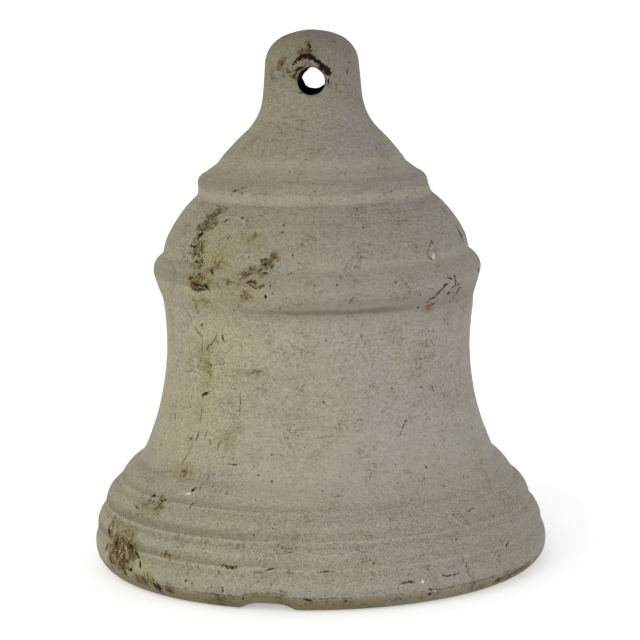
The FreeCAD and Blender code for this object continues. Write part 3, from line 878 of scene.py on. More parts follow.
HAIRLINES = [
    # Left of the waist: a crack from the bead, crossed scratches, and broken cracks under them
    (-52, 148.5, 6.5, 0.5, -50, 1),
    (-47, 139.5, 6.5, 0.5, -40, 1),
    (-45, 132.5, 4, 0.5, -90, 0.8),
    (-47, 123, 7, 0.6, 55, 0.6),
    (-40, 134.5, 10.5, 0.5, 40, 0.8),
    (-34, 138, 4, 0.7, -80, 0.9),
    (-32, 131.5, 7, 0.5, 40, 0.6),
    (-36, 123.5, 5.5, 0.6, 15, 0.6),
    (-44, 94.5, 8.5, 0.5, -85, 0.8),
    (-44, 83.5, 4, 0.6, 70, 0.9),
    (-47, 72.5, 7, 0.6, 70, 1),
    (-40, 86, 5, 0.6, 60, 0.8),
    (-63, 120, 6.5, 0.6, 85, 0.7),
    (-59, 89, 11.5, 0.5, -65, 0.6),
    (-27, 103, 10.5, 0.5, -85, 0.7),
    (-34, 80, 3.5, 0.5, -85, 0.8),
    (-27, 72, 6, 0.8, 4, 0.7),
    (-20, 89, 4, 0.4, -10, 0.6),
    # Right of the waist
    (48, 107, 3, 0.5, -75, 0.9),
    (43, 122, 9.5, 0.5, 85, 0.6),
    (33, 90, 13.5, 0.5, 50, 0.7),
    # Shoulder, ridge and knob
    (-34, 191, 3, 0.5, 55, 0.8),
    (-40, 214.5, 3.5, 0.5, 15, 0.8),
    (-34, 216.5, 3, 0.5, 10, 0.8),
    (44, 162.5, 7, 0.5, -10, 0.6),
    (44, 268.5, 5, 0.4, -2, 0.7),
    (49, 276, 2, 0.6, 85, 0.9),
    (50, 160.5, 7, 1, 35, 1.3),
    (58, 163, 4, 0.9, -60, 1.2),
    (61, 158, 4, 0.9, 65, 1.2),
    # Foot rings
    (-23, 20.5, 2, 0.5, -80, 0.8),
    (-22, 12, 3, 0.6, 75, 0.8),
    (-56, 44.5, 5.5, 0.5, -10, 0.8),
    (47, 44.5, 7, 0.5, 1, 0.7),
    (40, 18.5, 3, 0.5, 85, 0.9),
]

BLISTERS = [
    (50, 181.5, 5, 2.5, 60, 1),
    (42, 41.5, 4.5, 1.4, -40, 0.9),
    (41, 13.5, 3, 1.5, -55, 0.9),
    (58, 155, 3, 1.3, 60, 1),
]

RUST = [
    (-9, 280.5, 7, 4, 10, 0.7),
    (-8, 286, 7, 2.5, 0, 0.8),
    (17, 278, 4, 2.5, -40, 1.4),
    (-40, 281, 5, 3.5, 30, 0.8),
    (45, 151.5, 7, 5, -10, 0.9),
    (-38, 175, 8, 3.5, 30, 0.8),
    (-47, 167, 7, 3.5, 0, 0.8),
    (-44, 183, 3.5, 2.5, -20, 0.6),
    (-14, 181, 9.5, 3, 50, 0.5),
    (-20, 170, 8, 2, 10, 0.6),
    (-59, 15, 22, 11, 4, 0.8),
    (-38, 6.5, 5, 3, -10, 1.2),
    (52, 5.5, 5, 1.8, 0, 1.6),
    (62, 7, 18, 2.5, 5, 1),
    (27, 5, 5, 2.5, 0, 0.8),
]

MOULD = [
    (-48, 200, 11, 4, 35, 1),
    (-48, 194, 11, 5, 40, 0.9),
    (-46, 181, 12, 8, 80, 0.7),
    (-36, 178, 12, 8, 10, 0.6),
    (-41, 168, 15, 6.5, -5, 1),
    (-42, 157, 15, 5, -10, 0.6),
    (-15, 179.5, 12, 4, 50, 0.8),
    (-22, 174.5, 9, 4, 20, 0.6),
    (-19, 168.5, 10, 3, 4, 0.8),
    (-21, 162.5, 8, 4, -10, 0.7),
    (-28, 169, 5, 1.8, -10, 0.8),
    (-42, 120, 7, 5, -40, 0.7),
    (-21, 120.5, 9, 3, -4, 0.5),
    (-44, 64, 11, 4.5, 4, 0.5),
    (-22, 193.5, 6, 5, 20, 0.5),
    (-40, 280, 7, 5, 30, 0.7),
    (-24, 275, 5, 6, 50, 0.8),
    (-5, 289, 9, 4, 0, 0.8),
    (-58, 21, 24, 16, 3, 1),
    (-50, 47, 16, 6, 10, 0.6),
    (-39, 26, 7, 2.5, -5, 0.8),
    (-45, 10, 12, 5, 0, 0.7),
]

# Where the paint has broken up into flakes
FLAKING = [
    (-59, 19, 17, 12, 5, 1),
    (-66, 30, 8, 5, -60, 0.7),
    (-48, 9, 10, 4, -15, 0.8),
    (-44, 165, 9, 3, -10, 0.7),
    (56, 5, 12, 3, 0, 0.7),
]

# Pale spots: newer white paint, and a painted highlight at the foot of the blister on the right of the
# shoulder
PALE = [
    (-39, 55.5, 2.5, 1, 15, 1.2),
    (27, 14.5, 1.5, 1.3, 0, 1),
    (30, 8, 2, 0.5, -10, 1),
    (50, 178.5, 2.5, 1.7, 60, 1),
]


# Flat olive smears, most of them on the waist
SMEARS = [
    (-43, 128, 13, 5.5, 50, 1),
    (-41, 115, 8, 7, 0, 0.8),
    (-24, 121, 12, 3.5, -4, 1),
    (-30, 86, 14, 8, 15, 0.8),
    (-48, 66, 14, 5, 5, 1),
    (-45, 98, 9, 6, 80, 0.7),
    (-20, 190, 12, 8, 0, 0.7),
    (-34, 183, 12, 10, 0, 0.7),
    (-30, 160, 16, 5, -4, 0.7),
    (30, 108, 7, 16, 0, 0.5),
]


# Most of these bands are painted shade and painted highlights on the faces of the bead and the ridge.
# Level bands where the paint is darker or lighter: the heights at which a band starts, is full, is still
# full and ends, then its share on the left and on the right, and its tone.
LEVELS = [
    (44, 60, 85, 100, 0.1, 0.22, (178, 174, 160)),
    (138, 150, 165, 171, 0.06, 0.22, (112, 106, 88)),
    (149, 152.5, 157, 163, 0.2, 0.42, (118, 114, 102)),
    (163.5, 166, 170.5, 172.5, 0.42, 0.12, (104, 98, 82)),
    (172.5, 174.5, 178.5, 181, 0.14, 0.26, (176, 171, 152)),
    (206.5, 208.5, 211.5, 213.5, 0.36, 0.32, (180, 175, 156)),
    (213, 215.5, 217.5, 219.5, 0.5, 0.16, (108, 105, 88)),
    (219, 221.5, 228, 232, 0.22, 0.34, (178, 173, 154)),
]

# Heights of the dark line under the bead and of the edge of the foot's roll, in millimetres.
SEAM_HEIGHT = 154.5
FOOT_EDGE = 9.8


class Surface:
    """Where each point of the bell is, in millimetres and turns, and the noise that its layers share."""

    def __init__(self, nodes):
        self.nodes = nodes
        self.place = nodes.place()
        x, y, above_floor = nodes.split(self.place)
        self.height = above_floor - nodes.attribute("lift") * (1.0 / MM)
        self.gone = nodes.attribute("gone") * (1.0 / MM)
        self.radius = nodes.most(nodes.math("SQRT", x * x + y * y), 1.0)
        self.turn = nodes.math("ARCTAN2", x, y * -1.0)
        self.round_x = x / self.radius
        self.round_y = y / self.radius
        # The bore's wall is painted dark, as painted shade in the hole with dark crust at its lip; the dark
        # shows a little past the lip
        off_hole = nodes.vector("LENGTH", nodes.combine(x, 0.0, above_floor - HOLE_HEIGHT / MM))
        self.bore = off_hole.rise(HOLE_RADIUS / MM + 0.8, HOLE_RADIUS / MM + 0.3)
        self.broad = self.noise(55.0, 2.0)
        self.cloud = self.noise(14.0, 3.0, 0.6)
        self.grain = self.noise(1.6, 3.0, 0.65)
        self.lines = self.streaks(14.0, 1.3, 3.0)
        self.bands = self.streaks(40.0, 4.5)
        self.wrinkle = abs(self.noise(3.2, 4.0, 0.62) - 0.5)
        self.bend_far = self.noise(6.0, 1.0, output="Color")
        self.bend_near = self.noise(1.3, 1.0, output="Color")
        self.grit = self.grain * 1.4 + self.noise(0.7, 1.0) * 0.8 - 1.1
        self.clumps = self.cloud * 1.3 + self.grain * 1.3 - 1.3
        self.soil = self.grit * 0.8 + self.cloud * 1.6 - 0.8

    def noise(self, *settings, **more):
        return self.nodes.noise(self.place, *settings, **more)

    def streaks(self, around, up, detail=2.0):
        """Noise drawn out round the bell: about around degrees long and up millimetres high."""
        spread = math.degrees(1.0) / around
        vector = self.nodes.combine(self.round_x * spread, self.round_y * spread, self.gone / up)
        return self.nodes.noise(vector, 1.0, detail)

    def band(self, start, full, still_full, end):
        """1 between two heights and 0 outside two others."""
        return self.height.rise(start, full) * self.height.rise(end, still_full)

    def marks(self, across, up):
        """A place for marks that wander by these millimetres, so that no line is straight."""
        return Marks(self.nodes, self.turn + across / self.radius, self.height + up, self.radius)


class Wear:
    """Where each kind of mark lies on the paint, from 0 to 1, with edges broken up by noise."""

    def __init__(self, at):
        nodes = at.nodes
        far_x, far_y, _ = nodes.split(at.bend_far)
        near_x, near_y, _ = nodes.split(at.bend_near)
        wide_x, wide_y, _ = nodes.split(at.noise(8.0, 2.0, 0.6, output="Color"))
        marks = at.marks(far_x * 3.0 + near_x * 1.3 - 2.15, far_y * 3.0 + near_y * 1.3 - 2.15)
        loose_marks = at.marks(wide_x * 15.0 - 7.5, wide_y * 12.0 - 6.0)

        # Behind, where no mark is listed, mould and scabs of rust grow wild
        low_or_high = nodes.most(at.height.rise(48.0, 30.0), at.height.rise(140.0, 162.0))
        wild = at.round_y.rise(0.05, 0.35) * low_or_high * at.broad.rise(0.53, 0.66)
        scab = nodes.cells(at.place, 13.0).rise(0.24, 0.10) * wild.rise(0.3, 0.8)

        crust_field = nodes.most(marks.spread(CRUST), scab)
        self.crust = ragged(crust_field, at.grit * 1.7, (0.58, 0.74), (0.05, 0.3))
        self.stain = ragged(crust_field, at.grit * 0.8, (0.15, 0.7), (0.0, 0.25))
        self.hair = ragged(marks.spread(HAIRLINES), at.grit * 0.9, (0.34, 0.66), (0.05, 0.3))
        self.blister = (at.grit * 0.35 + marks.outline(BLISTERS, 0.35)).rise(0.25, 0.6)
        self.pale = (at.grit * 0.3 + marks.spread(PALE)).rise(0.35, 0.6)
        self.flaking = (at.clumps * 0.9 + marks.spread(FLAKING)).rise(0.15, 0.55)
        self.smear = ragged(loose_marks.spread(SMEARS), at.clumps * 0.8, (0.1, 0.9), (0.0, 0.4))
        self.rust_field = marks.spread(RUST)
        self.rust = ragged(self.rust_field, at.clumps * 0.7, (0.25, 1.0), (0.0, 0.3))
        self.mould_field = nodes.most(loose_marks.spread(MOULD), wild * 0.5)
        mould = ragged(self.mould_field, at.clumps * 1.9, (0.35, 0.85), (0.0, 0.45))
        self.mould = mould * at.noise(2.4, 2.0, 0.6).rise(0.40, 0.56)
        self.tinge = self.mould_field.rise(0.0, 0.7)
        self.broken = (self.mould_field + at.clumps).rise(0.15, 0.75) * self.tinge
        self.mould_veins = at.wrinkle.rise(0.05, 0.01) * self.broken

        # Pinholes everywhere, and dark specks that are thickest where the mould is
        pit_size = at.noise(9.0, 1.0) * 0.34 - 0.085
        self.pit = (pit_size - nodes.cells(at.place, 5.2)).rise(0.0, 0.03)
        mouldy = nodes.most(self.mould, self.mould_field.rise(0.1, 0.9, 0.0, 0.7))
        speck_size = mouldy * 0.40 + at.cloud * 0.22 - 0.12
        self.speck = (speck_size - nodes.cells(at.place, 1.9)).rise(0.0, 0.08)


def ragged(field, roughness, inner, outer):
    """Marks with broken edges: noise decides where a mark ends, but never outside its oval."""
    return (roughness + field).rise(*inner) * field.rise(*outer)


def brushed_tone(at):
    """The paint itself: greener on the left, streaked by the brush, grained, cracked and flecked."""
    nodes = at.nodes
    brushed = at.band(194.0, 204.0, 222.0, 234.0)
    line_share = at.noise(24.0, 2.0).rise(0.42, 0.62) * 0.26 + brushed * 0.30 + 0.08
    tone = nodes.blend(at.round_x.rise(-0.9, 0.6), linear(165, 158, 124), linear(158, 152, 147))
    tone = tone.towards((156, 150, 134), at.broad.rise(0.40, 0.62) * 0.6)
    tone = tone.towards((139, 135, 110), at.cloud.rise(0.50, 0.75) * 0.35)
    tone = tone.towards((136, 131, 116), at.bands.rise(0.42, 0.68) * 0.20)
    tone = tone.towards((167, 162, 143), at.bands.rise(0.45, 0.25) * 0.22)
    tone = tone.towards((126, 121, 104), at.lines.rise(0.50, 0.75) * line_share)
    tone = tone.towards((170, 165, 148), at.lines.rise(0.46, 0.28) * line_share)
    tone = tone.towards((114, 109, 92), at.grain.rise(0.48, 0.68) * 0.50)
    tone = tone.towards((180, 176, 162), at.grain.rise(0.46, 0.30) * 0.36)
    dash_share = at.cloud.rise(0.40, 0.62) * 0.45 + brushed * 0.3 + 0.15
    tone = tone.towards((88, 82, 64), at.streaks(4.0, 0.55).rise(0.60, 0.72) * dash_share)
    vein_share = at.cloud.rise(0.42, 0.66) * at.round_x.rise(-0.1, 0.4, 0.32, 0.12) + 0.06
    tone = tone.towards((96, 90, 70), at.wrinkle.rise(0.035, 0.0) * vein_share)
    flecks = at.noise(0.75, 2.0, 0.7)
    fleck_share = nodes.most(at.height.rise(66.0, 48.0), at.round_x.rise(-0.2, -0.6)) * 0.34 + 0.30
    tone = tone.towards((84, 78, 60), flecks.rise(0.53, 0.66) * fleck_share)
    return tone.towards((190, 186, 170), flecks.rise(0.47, 0.34) * fleck_share * 0.7)


def soiled_and_shaded(at, tone):
    """Dirt and painted shade in the hollows of the profile, painted shade under the rings and the bead,
    painted highlights on the bead and the ridges, and dirt and painted shade on the foot.
    """
    nodes = at.nodes
    hollow = nodes.attribute("hollow")
    crease = (at.soil * 0.6 + hollow).rise(0.75, 1.15)
    hollow_dirt_and_shade_share = at.round_x.rise(-0.8, 0.3, 0.60, 0.34) * at.height.rise(55.0, 70.0, 1.0, 0.4)
    hollow_dirt_and_shade_share = hollow_dirt_and_shade_share * at.height.rise(26.0, 50.0, 1.0, at.round_x.rise(-0.7, -0.1, 0.40, 0.15))
    # Dirt in the hollows, and painted shade there: every hollow is darkened by its depth alone
    hollow_dirt_and_shade = nodes.most(hollow * 0.40, crease) * (at.grit * 1.1 + 1.0)
    tone = tone.towards((92, 86, 64), hollow_dirt_and_shade * hollow_dirt_and_shade_share)
    # Painted shade on the lower faces of the foot rings, which face down
    shade_under_rings = nodes.attribute("under").rise(-0.02, 0.22) * at.band(9.0, 12.0, 52.0, 64.0)
    ring_shade_share = at.round_x.rise(-0.75, 0.25, 0.62, 0.22)
    tone = tone.towards((94, 88, 66), shade_under_rings * (at.grit * 0.8 + 1.0) * ring_shade_share)
    # Painted shade and painted highlights in level bands, most of them on the bead and the ridge
    for *heights, share_left, share_right, level_tone in LEVELS:
        level_share = at.round_x.rise(-0.7, 0.0, share_left, share_right)
        tone = tone.towards(level_tone, at.band(*heights) * level_share)
    far_x, _, _ = nodes.split(at.bend_far)
    off_seam = abs(far_x * 2.0 + at.height - SEAM_HEIGHT)
    seam = (at.soil * 1.6 + off_seam).rise(2.2, 0.2)
    tone = tone.towards((88, 79, 46), seam * at.round_x.rise(-0.5, -0.1) * at.round_x.rise(0.75, 0.4) * 0.5)

    # The foot: darker over its roll, dirt and painted shade below its edge where it turns down, and the
    # line of dirt along its edge
    tone = tone.towards((118, 114, 98), at.height.rise(24.0, 15.0, 0.0, 0.20))
    uneven_height = at.bend_far * 2.0 + at.height
    foot = uneven_height.rise(10.5, 8.0)
    tone = tone.towards((118, 107, 70), foot * at.round_x.rise(0.1, 0.6, 0.72, 0.25))
    tone = tone.towards((66, 57, 34), foot * (at.cloud + at.grain).rise(0.95, 1.25) * 0.7)
    foot_line = at.soil * 1.4 + 0.75 - abs(uneven_height - FOOT_EDGE)
    tone = tone.towards((52, 44, 30), foot_line.rise(0.3, 0.8) * 0.75)
    # Painted highlight on the ridges, where the profile bends outwards
    return tone.towards((176, 171, 154), nodes.attribute("ridge") * 0.14)


def mouldy(at, wear, tone):
    """Olive smears, and brown mould with dark veins and threads."""
    tone = tone.towards((126, 117, 78), wear.smear * 0.42)
    tone = tone.towards((142, 128, 72), wear.tinge * 0.40)
    mould_tone = at.nodes.blend(at.grain.rise(0.42, 0.60), linear(78, 58, 14), linear(138, 120, 60))
    tone = at.nodes.blend(wear.mould * 0.54, tone, mould_tone)
    tone = tone.towards((52, 38, 16), wear.mould_veins * 0.9)
    threads = abs(at.noise(1.7, 2.0, 0.6) - 0.5).rise(0.040, 0.0)
    return tone.towards((58, 44, 18), threads * wear.broken * 0.7)


def rusty(at, wear, tone):
    """Brown stains round the crust, and rust that is deepest in the middle of its marks."""
    tone = tone.towards((86, 66, 30), wear.stain * 0.50)
    rust_tone = at.nodes.blend(wear.rust_field.rise(0.6, 1.2), linear(120, 86, 28), linear(72, 38, 4))
    return at.nodes.blend(wear.rust * wear.rust_field.rise(0.7, 1.2, 0.66, 0.95), tone, rust_tone)


def flaked(at, wear, tone):
    """Paint broken into brown and pale flakes with dark gaps; also how far each flake stands out."""
    nodes = at.nodes
    flake_place = nodes.vector("MULTIPLY", at.place, (1.0, 1.0, 0.5))
    flake_place = nodes.vector("ADD", flake_place, nodes.scaled(at.bend_near, 2.4))
    flake_kind = nodes.split(nodes.cells(flake_place, 2.3, "Color"))[0]
    flake_tone = nodes.blend(flake_kind.rise(0.45, 0.75), linear(88, 62, 28), linear(172, 158, 112))
    flake_tone = flake_tone.towards((40, 27, 12), nodes.cells(flake_place, 2.3).rise(0.42, 0.62) * 0.8)
    return nodes.blend(wear.flaking * 0.66, tone, flake_tone), wear.flaking * flake_kind


def marked(at, wear, tone):
    """Pinholes, specks, hairline cracks, blisters, black crust, spots of newer white, and a painted
    highlight on a blister.
    """
    tone = tone.towards((60, 53, 40), wear.pit * 0.75)
    tone = tone.towards((38, 31, 20), wear.speck * 0.80)
    tone = tone.towards((50, 41, 28), wear.hair * 0.88)
    tone = tone.towards((58, 47, 36), wear.blister * 0.70)
    crust_tone = at.nodes.blend(at.grain.rise(0.42, 0.62), linear(12, 8, 4), linear(52, 31, 10))
    tone = at.nodes.blend(wear.crust, tone, crust_tone)
    # Newer white, and the painted highlight on the blister
    return tone.towards((214, 212, 204), wear.pale * 0.85)


def bare_inside(at, inside, tone):
    """Bare rusty iron inside the bell, and a bore painted near black: painted shade in the hole, with dark
    crust at its lip.
    """
    iron = at.nodes.blend(at.cloud.rise(0.35, 0.65), linear(62, 42, 30), linear(96, 62, 38))
    iron = iron.towards((38, 28, 22), at.grain.rise(0.45, 0.7))
    return at.nodes.blend(inside, tone, iron).towards((28, 24, 19), at.bore)


def shaded_by_height(at, tone):
    """Painted shade: the upper parts and the foot are darker than the waist."""
    upper = at.height.rise(235.0, 285.0, 0.32, 1.0) * at.height.rise(150.0, 185.0)
    height_shade = at.nodes.most(upper, at.height.rise(14.0, 3.0) * 0.8)
    return at.nodes.blend(height_shade, tone, linear(212, 210, 208), "MULTIPLY")


def old_paint():
    """Thin off-white paint on cast iron: brushed and streaked, pitted, mouldy, and rusty where broken, with
    painted shade and highlights.
    """
    nodes = Nodes("old_paint")
    at = Surface(nodes)
    wear = Wear(at)
    inside = nodes.attribute("inside")
    tone = soiled_and_shaded(at, brushed_tone(at))
    tone = rusty(at, wear, mouldy(at, wear, tone))
    tone, flake_relief = flaked(at, wear, tone)
    tone = bare_inside(at, inside, marked(at, wear, tone))
    roughness = at.grain * 0.18 + wear.crust * 0.2 + 0.66
    relief = at.lines * 0.08 + at.grain * 0.20 + at.bands * 0.20 + inside * at.cloud * 0.9
    relief = relief - wear.mould_veins * 0.25 - wear.pit * 0.18 + flake_relief * 0.5
    relief = relief * (1.0 - at.bore)
    return nodes.finish(shaded_by_height(at, tone), roughness, relief, 0.9, specular=0.22 - at.bore * 0.22)


# Clapper and hanger

PIVOT_HEIGHT = frame["record"]["behaviour"]["joints"][0]["pos_m"][2]
BALL_LOW, BALL_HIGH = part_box("clapper_ball")
SHANK_LOW, SHANK_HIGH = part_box("clapper_shank")
EYE_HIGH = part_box("hanger_eyebolt")[1]
SPLIT_LOW, SPLIT_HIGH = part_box("split_pin")
HANGER_THREAD = 4.75 * MM
HANGER_THREAD_LENGTH = 56.0 * MM
HANGER_NECK = 9.0 * MM
EYE_BORE = 4.12 * MM
BALL_BORE = 5.3 * MM
BALL_SWELLS = (0.14, 14, (1, 7), (12.0, 40.0))
BALL_PITS = (0.07, 26, (8, 40), (2.0, 9.0))
LOWER_THREAD_TOP = 88.0 * MM
UPPER_THREAD_FOOT = 128.0 * MM


def turned_grid(radii, heights, columns, closed=False):
    """A surface of revolution whose radii are a grid: one row of radii per height."""
    angle = np.linspace(0, 2 * math.pi, columns, endpoint=False)
    rows = len(heights)
    vertices = np.column_stack([
        (radii * np.cos(angle)).ravel(),
        (radii * np.sin(angle)).ravel(),
        np.repeat(heights, columns),
    ])
    faces = []
    for row in range(rows if closed else rows - 1):
        for j in range(columns):
            a, b = row * columns + j, row * columns + (j + 1) % columns
            above = ((row + 1) % rows - row) * columns
            faces.append((a, b, b + above, a + above))
    if not closed:
        faces.append(tuple(range(columns - 1, -1, -1)))
        faces.append(tuple(range((rows - 1) * columns, rows * columns)))
    return vertices, faces


def threaded_rod(radius, low, high, threads):
    """A round bar with chamfered ends and screw threads over some stretches of its height."""
    columns, chamfer, pitch, depth = 48, 0.8 * MM, 1.75 * MM, 0.72 * MM
    heights = [low, low + chamfer, high - chamfer, high]
    for start, end in threads:
        heights += list(np.arange(max(start, low + chamfer), min(end, high - chamfer), pitch / 8))
    heights = np.unique(np.round(np.sort(heights), 6))
    angle = np.linspace(0, 2 * math.pi, columns, endpoint=False)
    turns = heights[:, None] / pitch - angle[None, :] / (2 * math.pi)
    saw = np.abs((turns % 1.0) - 0.5) * 2
    tooth = np.clip(1.3 * saw - 0.15, 0, 1)
    on = np.zeros(len(heights))
    for start, end in threads:
        from_start, to_end = (heights - start) / pitch, (end - heights) / pitch
        on = np.maximum(on, np.clip(from_start, 0, 1) * np.clip(to_end, 0, 1))
    radii = radius - depth * tooth * on[:, None]
    ends = np.minimum(heights - low, high - heights)
    radii = np.minimum(radii, radius - np.clip(chamfer - ends, 0, chamfer)[:, None])
    return turned_grid(radii, heights, columns)


def dressed(piece, material):
    piece.data.materials.clear()
    piece.data.materials.append(material)
    piece.data.shade_smooth()
    return piece


def worn(name, body, slot, voxel, roughness):
    """The CAD piece with its edges rounded by wear and its faces left uneven by scale."""
    source = frame["nodes"][name]
    vertices = [vertex.co.copy() for vertex in source.data.vertices]
    faces = [tuple(face.vertices) for face in source.data.polygons]
    piece = new_piece(f"worn_{name}", vertices, faces, body, slot, name)
    remesh = piece.modifiers.new("remesh", "REMESH")
    remesh.mode = "VOXEL"
    remesh.voxel_size = voxel * MM
    smooth = piece.modifiers.new("smooth", "SMOOTH")
    smooth.factor = 0.5
    smooth.iterations = 2
    bake_modifiers(piece)
    mesh = piece.data
    points = read_points(mesh)
    offset = [scale_height(point) for point in points]
    normals = np.empty(3 * len(points), np.float32)
    mesh.vertices.foreach_get("normal", normals)
    points += normals.reshape(-1, 3) * (np.array(offset) * roughness * MM)[:, None]
    mesh.vertices.foreach_set("co", points.astype(np.float32).ravel())
    return piece


def scale_height(point):
    """Lumps of rust scale: noise at two sizes, between about -1 and 0.4."""
    place = Vector(point) / MM
    return 0.6 * (noise.noise(place / 3.2) - 0.5) + 0.3 * noise.noise(place / 1.1)


def eyebolt_piece():
    """A forged flat eye, thickest at its rim, with a threaded shank up into the crown."""
    low, high = PIVOT_HEIGHT + HANGER_NECK, EYE_HIGH[2]
    vertices, faces = threaded_rod(HANGER_THREAD, low, high, [(high - HANGER_THREAD_LENGTH, high)])
    piece = new_piece("eyebolt", vertices, faces, "bell", "rusted_steel", "hanger_eyebolt")
    combine(piece, eye_ring(), "UNION")
    return piece


def eye_ring():
    """The eye as a closed ring about Y: a worn bore, a rounded rim and a neck swelling to the shank."""
    outer, half, columns = EYE_HIGH[0], EYE_HIGH[1], 72
    outline = [
        (EYE_BORE, -half * 0.62),
        (EYE_BORE + 0.7 * MM, -half * 0.97),
        (outer - 3.2 * MM, -half),
        (outer - 1.0 * MM, -half * 0.72),
        (outer, 0.0),
    ]
    outline += [(r, -z) for r, z in reversed(outline[:-1])]
    smooth_ring = spline_loop(outline, 4)
    radii = np.repeat(smooth_ring[:, :1], columns, axis=1)
    vertices, faces = turned_grid(radii, smooth_ring[:, 1], columns, closed=True)
    turned = np.column_stack([vertices[:, 0], -vertices[:, 2], vertices[:, 1] + PIVOT_HEIGHT])
    return scene_object("eye_ring", plain_mesh("eye_ring", turned, faces))


def spline_loop(points, cuts):
    """A closed smooth loop through the given points, with cuts points in each stretch."""
    points = np.array(points)
    before, after, next_after = np.roll(points, 1, 0), np.roll(points, -1, 0), np.roll(points, -2, 0)
    loop = []
    for t in np.arange(cuts) / cuts:
        square = 2 * before - 5 * points + 4 * after - next_after
        cube = 3 * points - before - 3 * after + next_after
        loop.append(0.5 * (2 * points + (after - before) * t + square * t**2 + cube * t**3))
    return np.stack(loop, axis=1).reshape(-1, 2)


def shank_piece():
    """The round rod that carries the ball, threaded where the ball's nuts and the fork screw on."""
    threads = [(SHANK_LOW[2], LOWER_THREAD_TOP), (UPPER_THREAD_FOOT, SHANK_HIGH[2])]
    vertices, faces = threaded_rod(SHANK_HIGH[0], SHANK_LOW[2], SHANK_HIGH[2], threads)
    return new_piece("shank", vertices, faces, "clapper", "rusted_steel", "clapper_shank")


def ball_piece():
    """The cast striking ball: a seam round its middle, sand pits, and two flats beaten by striking."""
    rng = np.random.default_rng(SEED + 2)
    middle = (BALL_LOW[2] + BALL_HIGH[2]) / 2
    half, sphere = (BALL_HIGH[2] - BALL_LOW[2]) / 2, BALL_HIGH[0]
    columns = 120
    outer = np.linspace(-math.asin(half / sphere), math.asin(half / sphere), 81)
    ring = [(sphere * math.cos(a), sphere * math.sin(a)) for a in outer]
    flat = ring[-1][0]
    corner = 0.9 * MM
    top = [(r, half) for r in np.linspace(flat - corner, BALL_BORE + corner, 5)]
    wall = [(BALL_BORE, z) for z in np.linspace(half - corner, -half + corner, 10)]
    bottom = [(r, -z) for r, z in reversed(top)]
    loop = np.array(ring + top + wall + bottom)
    radii = np.repeat(loop[:, :1], columns, axis=1)
    heights = loop[:, 1]
    angle = np.linspace(0, 2 * math.pi, columns, endpoint=False)
    outside = (np.arange(len(loop)) < len(ring))[:, None]
    turn, height = np.broadcast_arrays(angle[None, :], heights[:, None])
    lumps = waves(rng, BALL_SWELLS, turn, height) + waves(rng, BALL_PITS, turn, height)
    seam = 0.55 * hump(height / (1.5 * MM)) * (0.75 + 0.25 * np.sin(5 * turn))
    radii = radii + outside * (lumps - 0.35 + seam) * MM
    beaten = sphere - 0.75 * MM
    for side in (1, -1):
        reach = radii * side * np.cos(angle)
        radii = np.where(outside & (reach > beaten), beaten / np.maximum(side * np.cos(angle), 0.5), radii)
    vertices, faces = turned_grid(radii, heights, columns, closed=True)
    vertices[:, 2] += middle
    return new_piece("striking_ball", vertices, faces, "clapper", "bare_casting", "clapper_ball")


def wire(name, points, radius, body, slot, *nodes):
    """A round wire along a smooth line through the given points."""
    curve = bpy.data.curves.new(f"{name}_line", "CURVE")
    curve.dimensions = "3D"
    curve.bevel_depth = radius
    curve.bevel_resolution = 4
    curve.resolution_u = 6
    curve.use_fill_caps = True
    spline = curve.splines.new("NURBS")
    spline.points.add(len(points) - 1)
    for point, place in zip(spline.points, points):
        point.co = (*place, 1.0)
    spline.order_u = 3
    spline.use_endpoint_u = True
    holder = scene_object(f"{name}_line", curve)
    bpy.context.view_layer.update()
    mesh = bpy.data.meshes.new_from_object(holder.evaluated_get(bpy.context.evaluated_depsgraph_get()))
    bpy.data.objects.remove(holder)
    work = bmesh.new()
    work.from_mesh(mesh)
    bmesh.ops.remove_doubles(work, verts=work.verts, dist=0.01 * MM)
    work.to_mesh(mesh)
    work.free()
    mesh.name = name
    piece = scene_object(name, mesh)
    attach(piece, body)
    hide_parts(*nodes)
    return piece


def split_pin_piece():
    """One wire bent double: two legs through the pin, a ring above, and its tips spread below."""
    y = (SPLIT_LOW[1] + SPLIT_HIGH[1]) / 2
    leg, ring, wire_radius = 0.53 * MM, 2.1 * MM, 0.5 * MM
    top = SPLIT_HIGH[2] - 0.6 * MM - ring
    foot = PIVOT_HEIGHT - 5.7 * MM
    spread = SPLIT_HIGH[0] - wire_radius
    side = [
        (spread, y, SPLIT_LOW[2] + wire_radius),
        (leg * 1.3, y, foot - 0.2 * MM),
        (leg, y, foot + 1.2 * MM),
        (leg, y, PIVOT_HEIGHT),
        (leg, y, PIVOT_HEIGHT + 4.6 * MM),
    ]
    loop = []
    for angle in range(-60, 241, 30):
        a = math.radians(angle)
        loop.append((ring * 1.04 * math.cos(a), y, top + ring * 1.04 * math.sin(a)))
    line = side + loop + [(-x, y, z) for x, y, z in reversed(side)]
    return wire("split_pin_wire", line, wire_radius, "clapper", "rusted_steel", "split_pin")


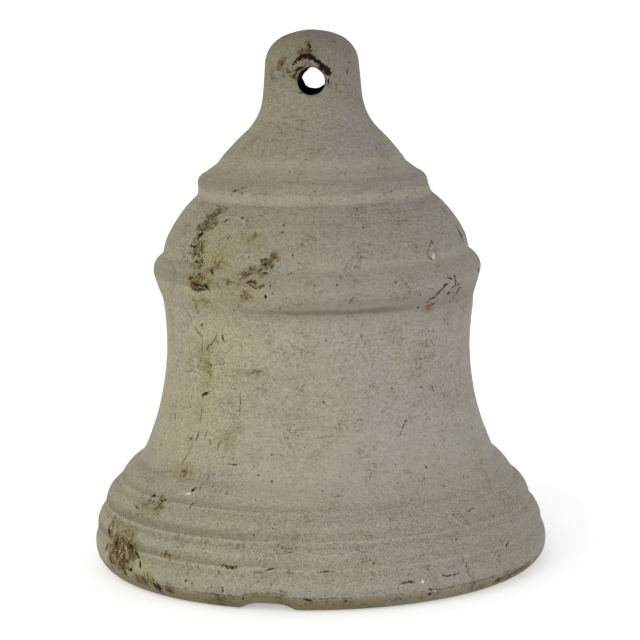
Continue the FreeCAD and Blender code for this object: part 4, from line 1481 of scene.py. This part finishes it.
def rust(name, dark, middle, bright, worn_share, worn_tone):
    """Rusty metal: scale in three browns, pits, and bare metal where it has rubbed."""
    nodes = Nodes(name)
    place = nodes.place()
    broad = nodes.noise(place, 9.0, 3.0, 0.6)
    grain = nodes.noise(place, 1.0, 4.0, 0.7)
    tone = nodes.blend(broad.rise(0.36, 0.62), linear(*dark), linear(*middle))
    tone = tone.towards(bright, grain.rise(0.48, 0.66) * 0.7)
    pit = (nodes.cells(place, 2.4) + 0.1 - grain * 0.4).rise(0.16, 0.06)
    tone = tone.towards((28, 20, 15), pit * 0.8)
    edges = Value(nodes, nodes.add("ShaderNodeNewGeometry").outputs["Pointiness"])
    bare = (grain * 0.06 + edges).rise(0.545, 0.60) * worn_share
    tone = tone.towards(worn_tone, bare)
    roughness = grain * 0.2 + 0.72 - bare * 0.35
    relief = grain * 0.22 + broad - pit * 0.2
    return nodes.finish(tone, roughness, relief, 0.8, metallic=bare * 0.85, specular=0.3)


def struck_iron():
    """The ball's cast iron: dark and scaly, rubbed bare where it strikes the bell."""
    nodes = Nodes("struck_iron")
    place = nodes.place()
    across = nodes.split(place)[0]
    grain = nodes.noise(place, 1.2, 4.0, 0.7)
    broad = nodes.noise(place, 11.0, 3.0, 0.6)
    tone = nodes.blend(broad.rise(0.38, 0.62), linear(62, 47, 38), linear(98, 64, 42))
    tone = tone.towards((40, 32, 28), grain.rise(0.5, 0.68) * 0.6)
    bare = (grain * 1.6 + abs(across)).rise(20.3, 20.9)
    tone = tone.towards((118, 112, 106), bare * 0.85)
    roughness = grain * 0.2 + 0.68 - bare * 0.36
    return nodes.finish(tone, roughness, grain * 0.3 + broad, 0.8, metallic=bare * 0.8, specular=0.35)


def hardware_pieces():
    forged = rust("forged_rust", (58, 38, 28), (96, 60, 38), (132, 82, 46), 0.5, (120, 112, 104))
    turned = rust("turned_rust", (66, 46, 34), (104, 70, 46), (128, 88, 54), 0.8, (136, 130, 122))
    dressed(eyebolt_piece(), forged)
    dressed(shank_piece(), turned)
    dressed(split_pin_piece(), turned)
    dressed(ball_piece(), struck_iron())
    worn_pieces = [
        ("clapper_clevis", "clapper", 0.55, 0.32, forged),
        ("pull_eye", "clapper", 0.5, 0.32, forged),
        ("hanger_nut", "bell", 0.45, 0.18, forged),
        ("clevis_nut", "clapper", 0.45, 0.18, forged),
        ("ball_nut", "clapper", 0.45, 0.18, forged),
        ("hanger_washer", "bell", 0.4, 0.12, turned),
        ("ball_washer", "clapper", 0.4, 0.12, turned),
    ]
    for name, body, voxel, roughness, material in worn_pieces:
        dressed(worn(name, body, "rusted_steel", voxel, roughness), material)
    for name in ("clevis_pin", "clevis_pin_washer"):
        for slot in frame["nodes"][name].material_slots:
            slot.link = "OBJECT"
            slot.material = turned


profile = Profile(section_walk(frame["nodes"][BELL].data))
make_studio()
bell_piece(profile)
hardware_pieces()
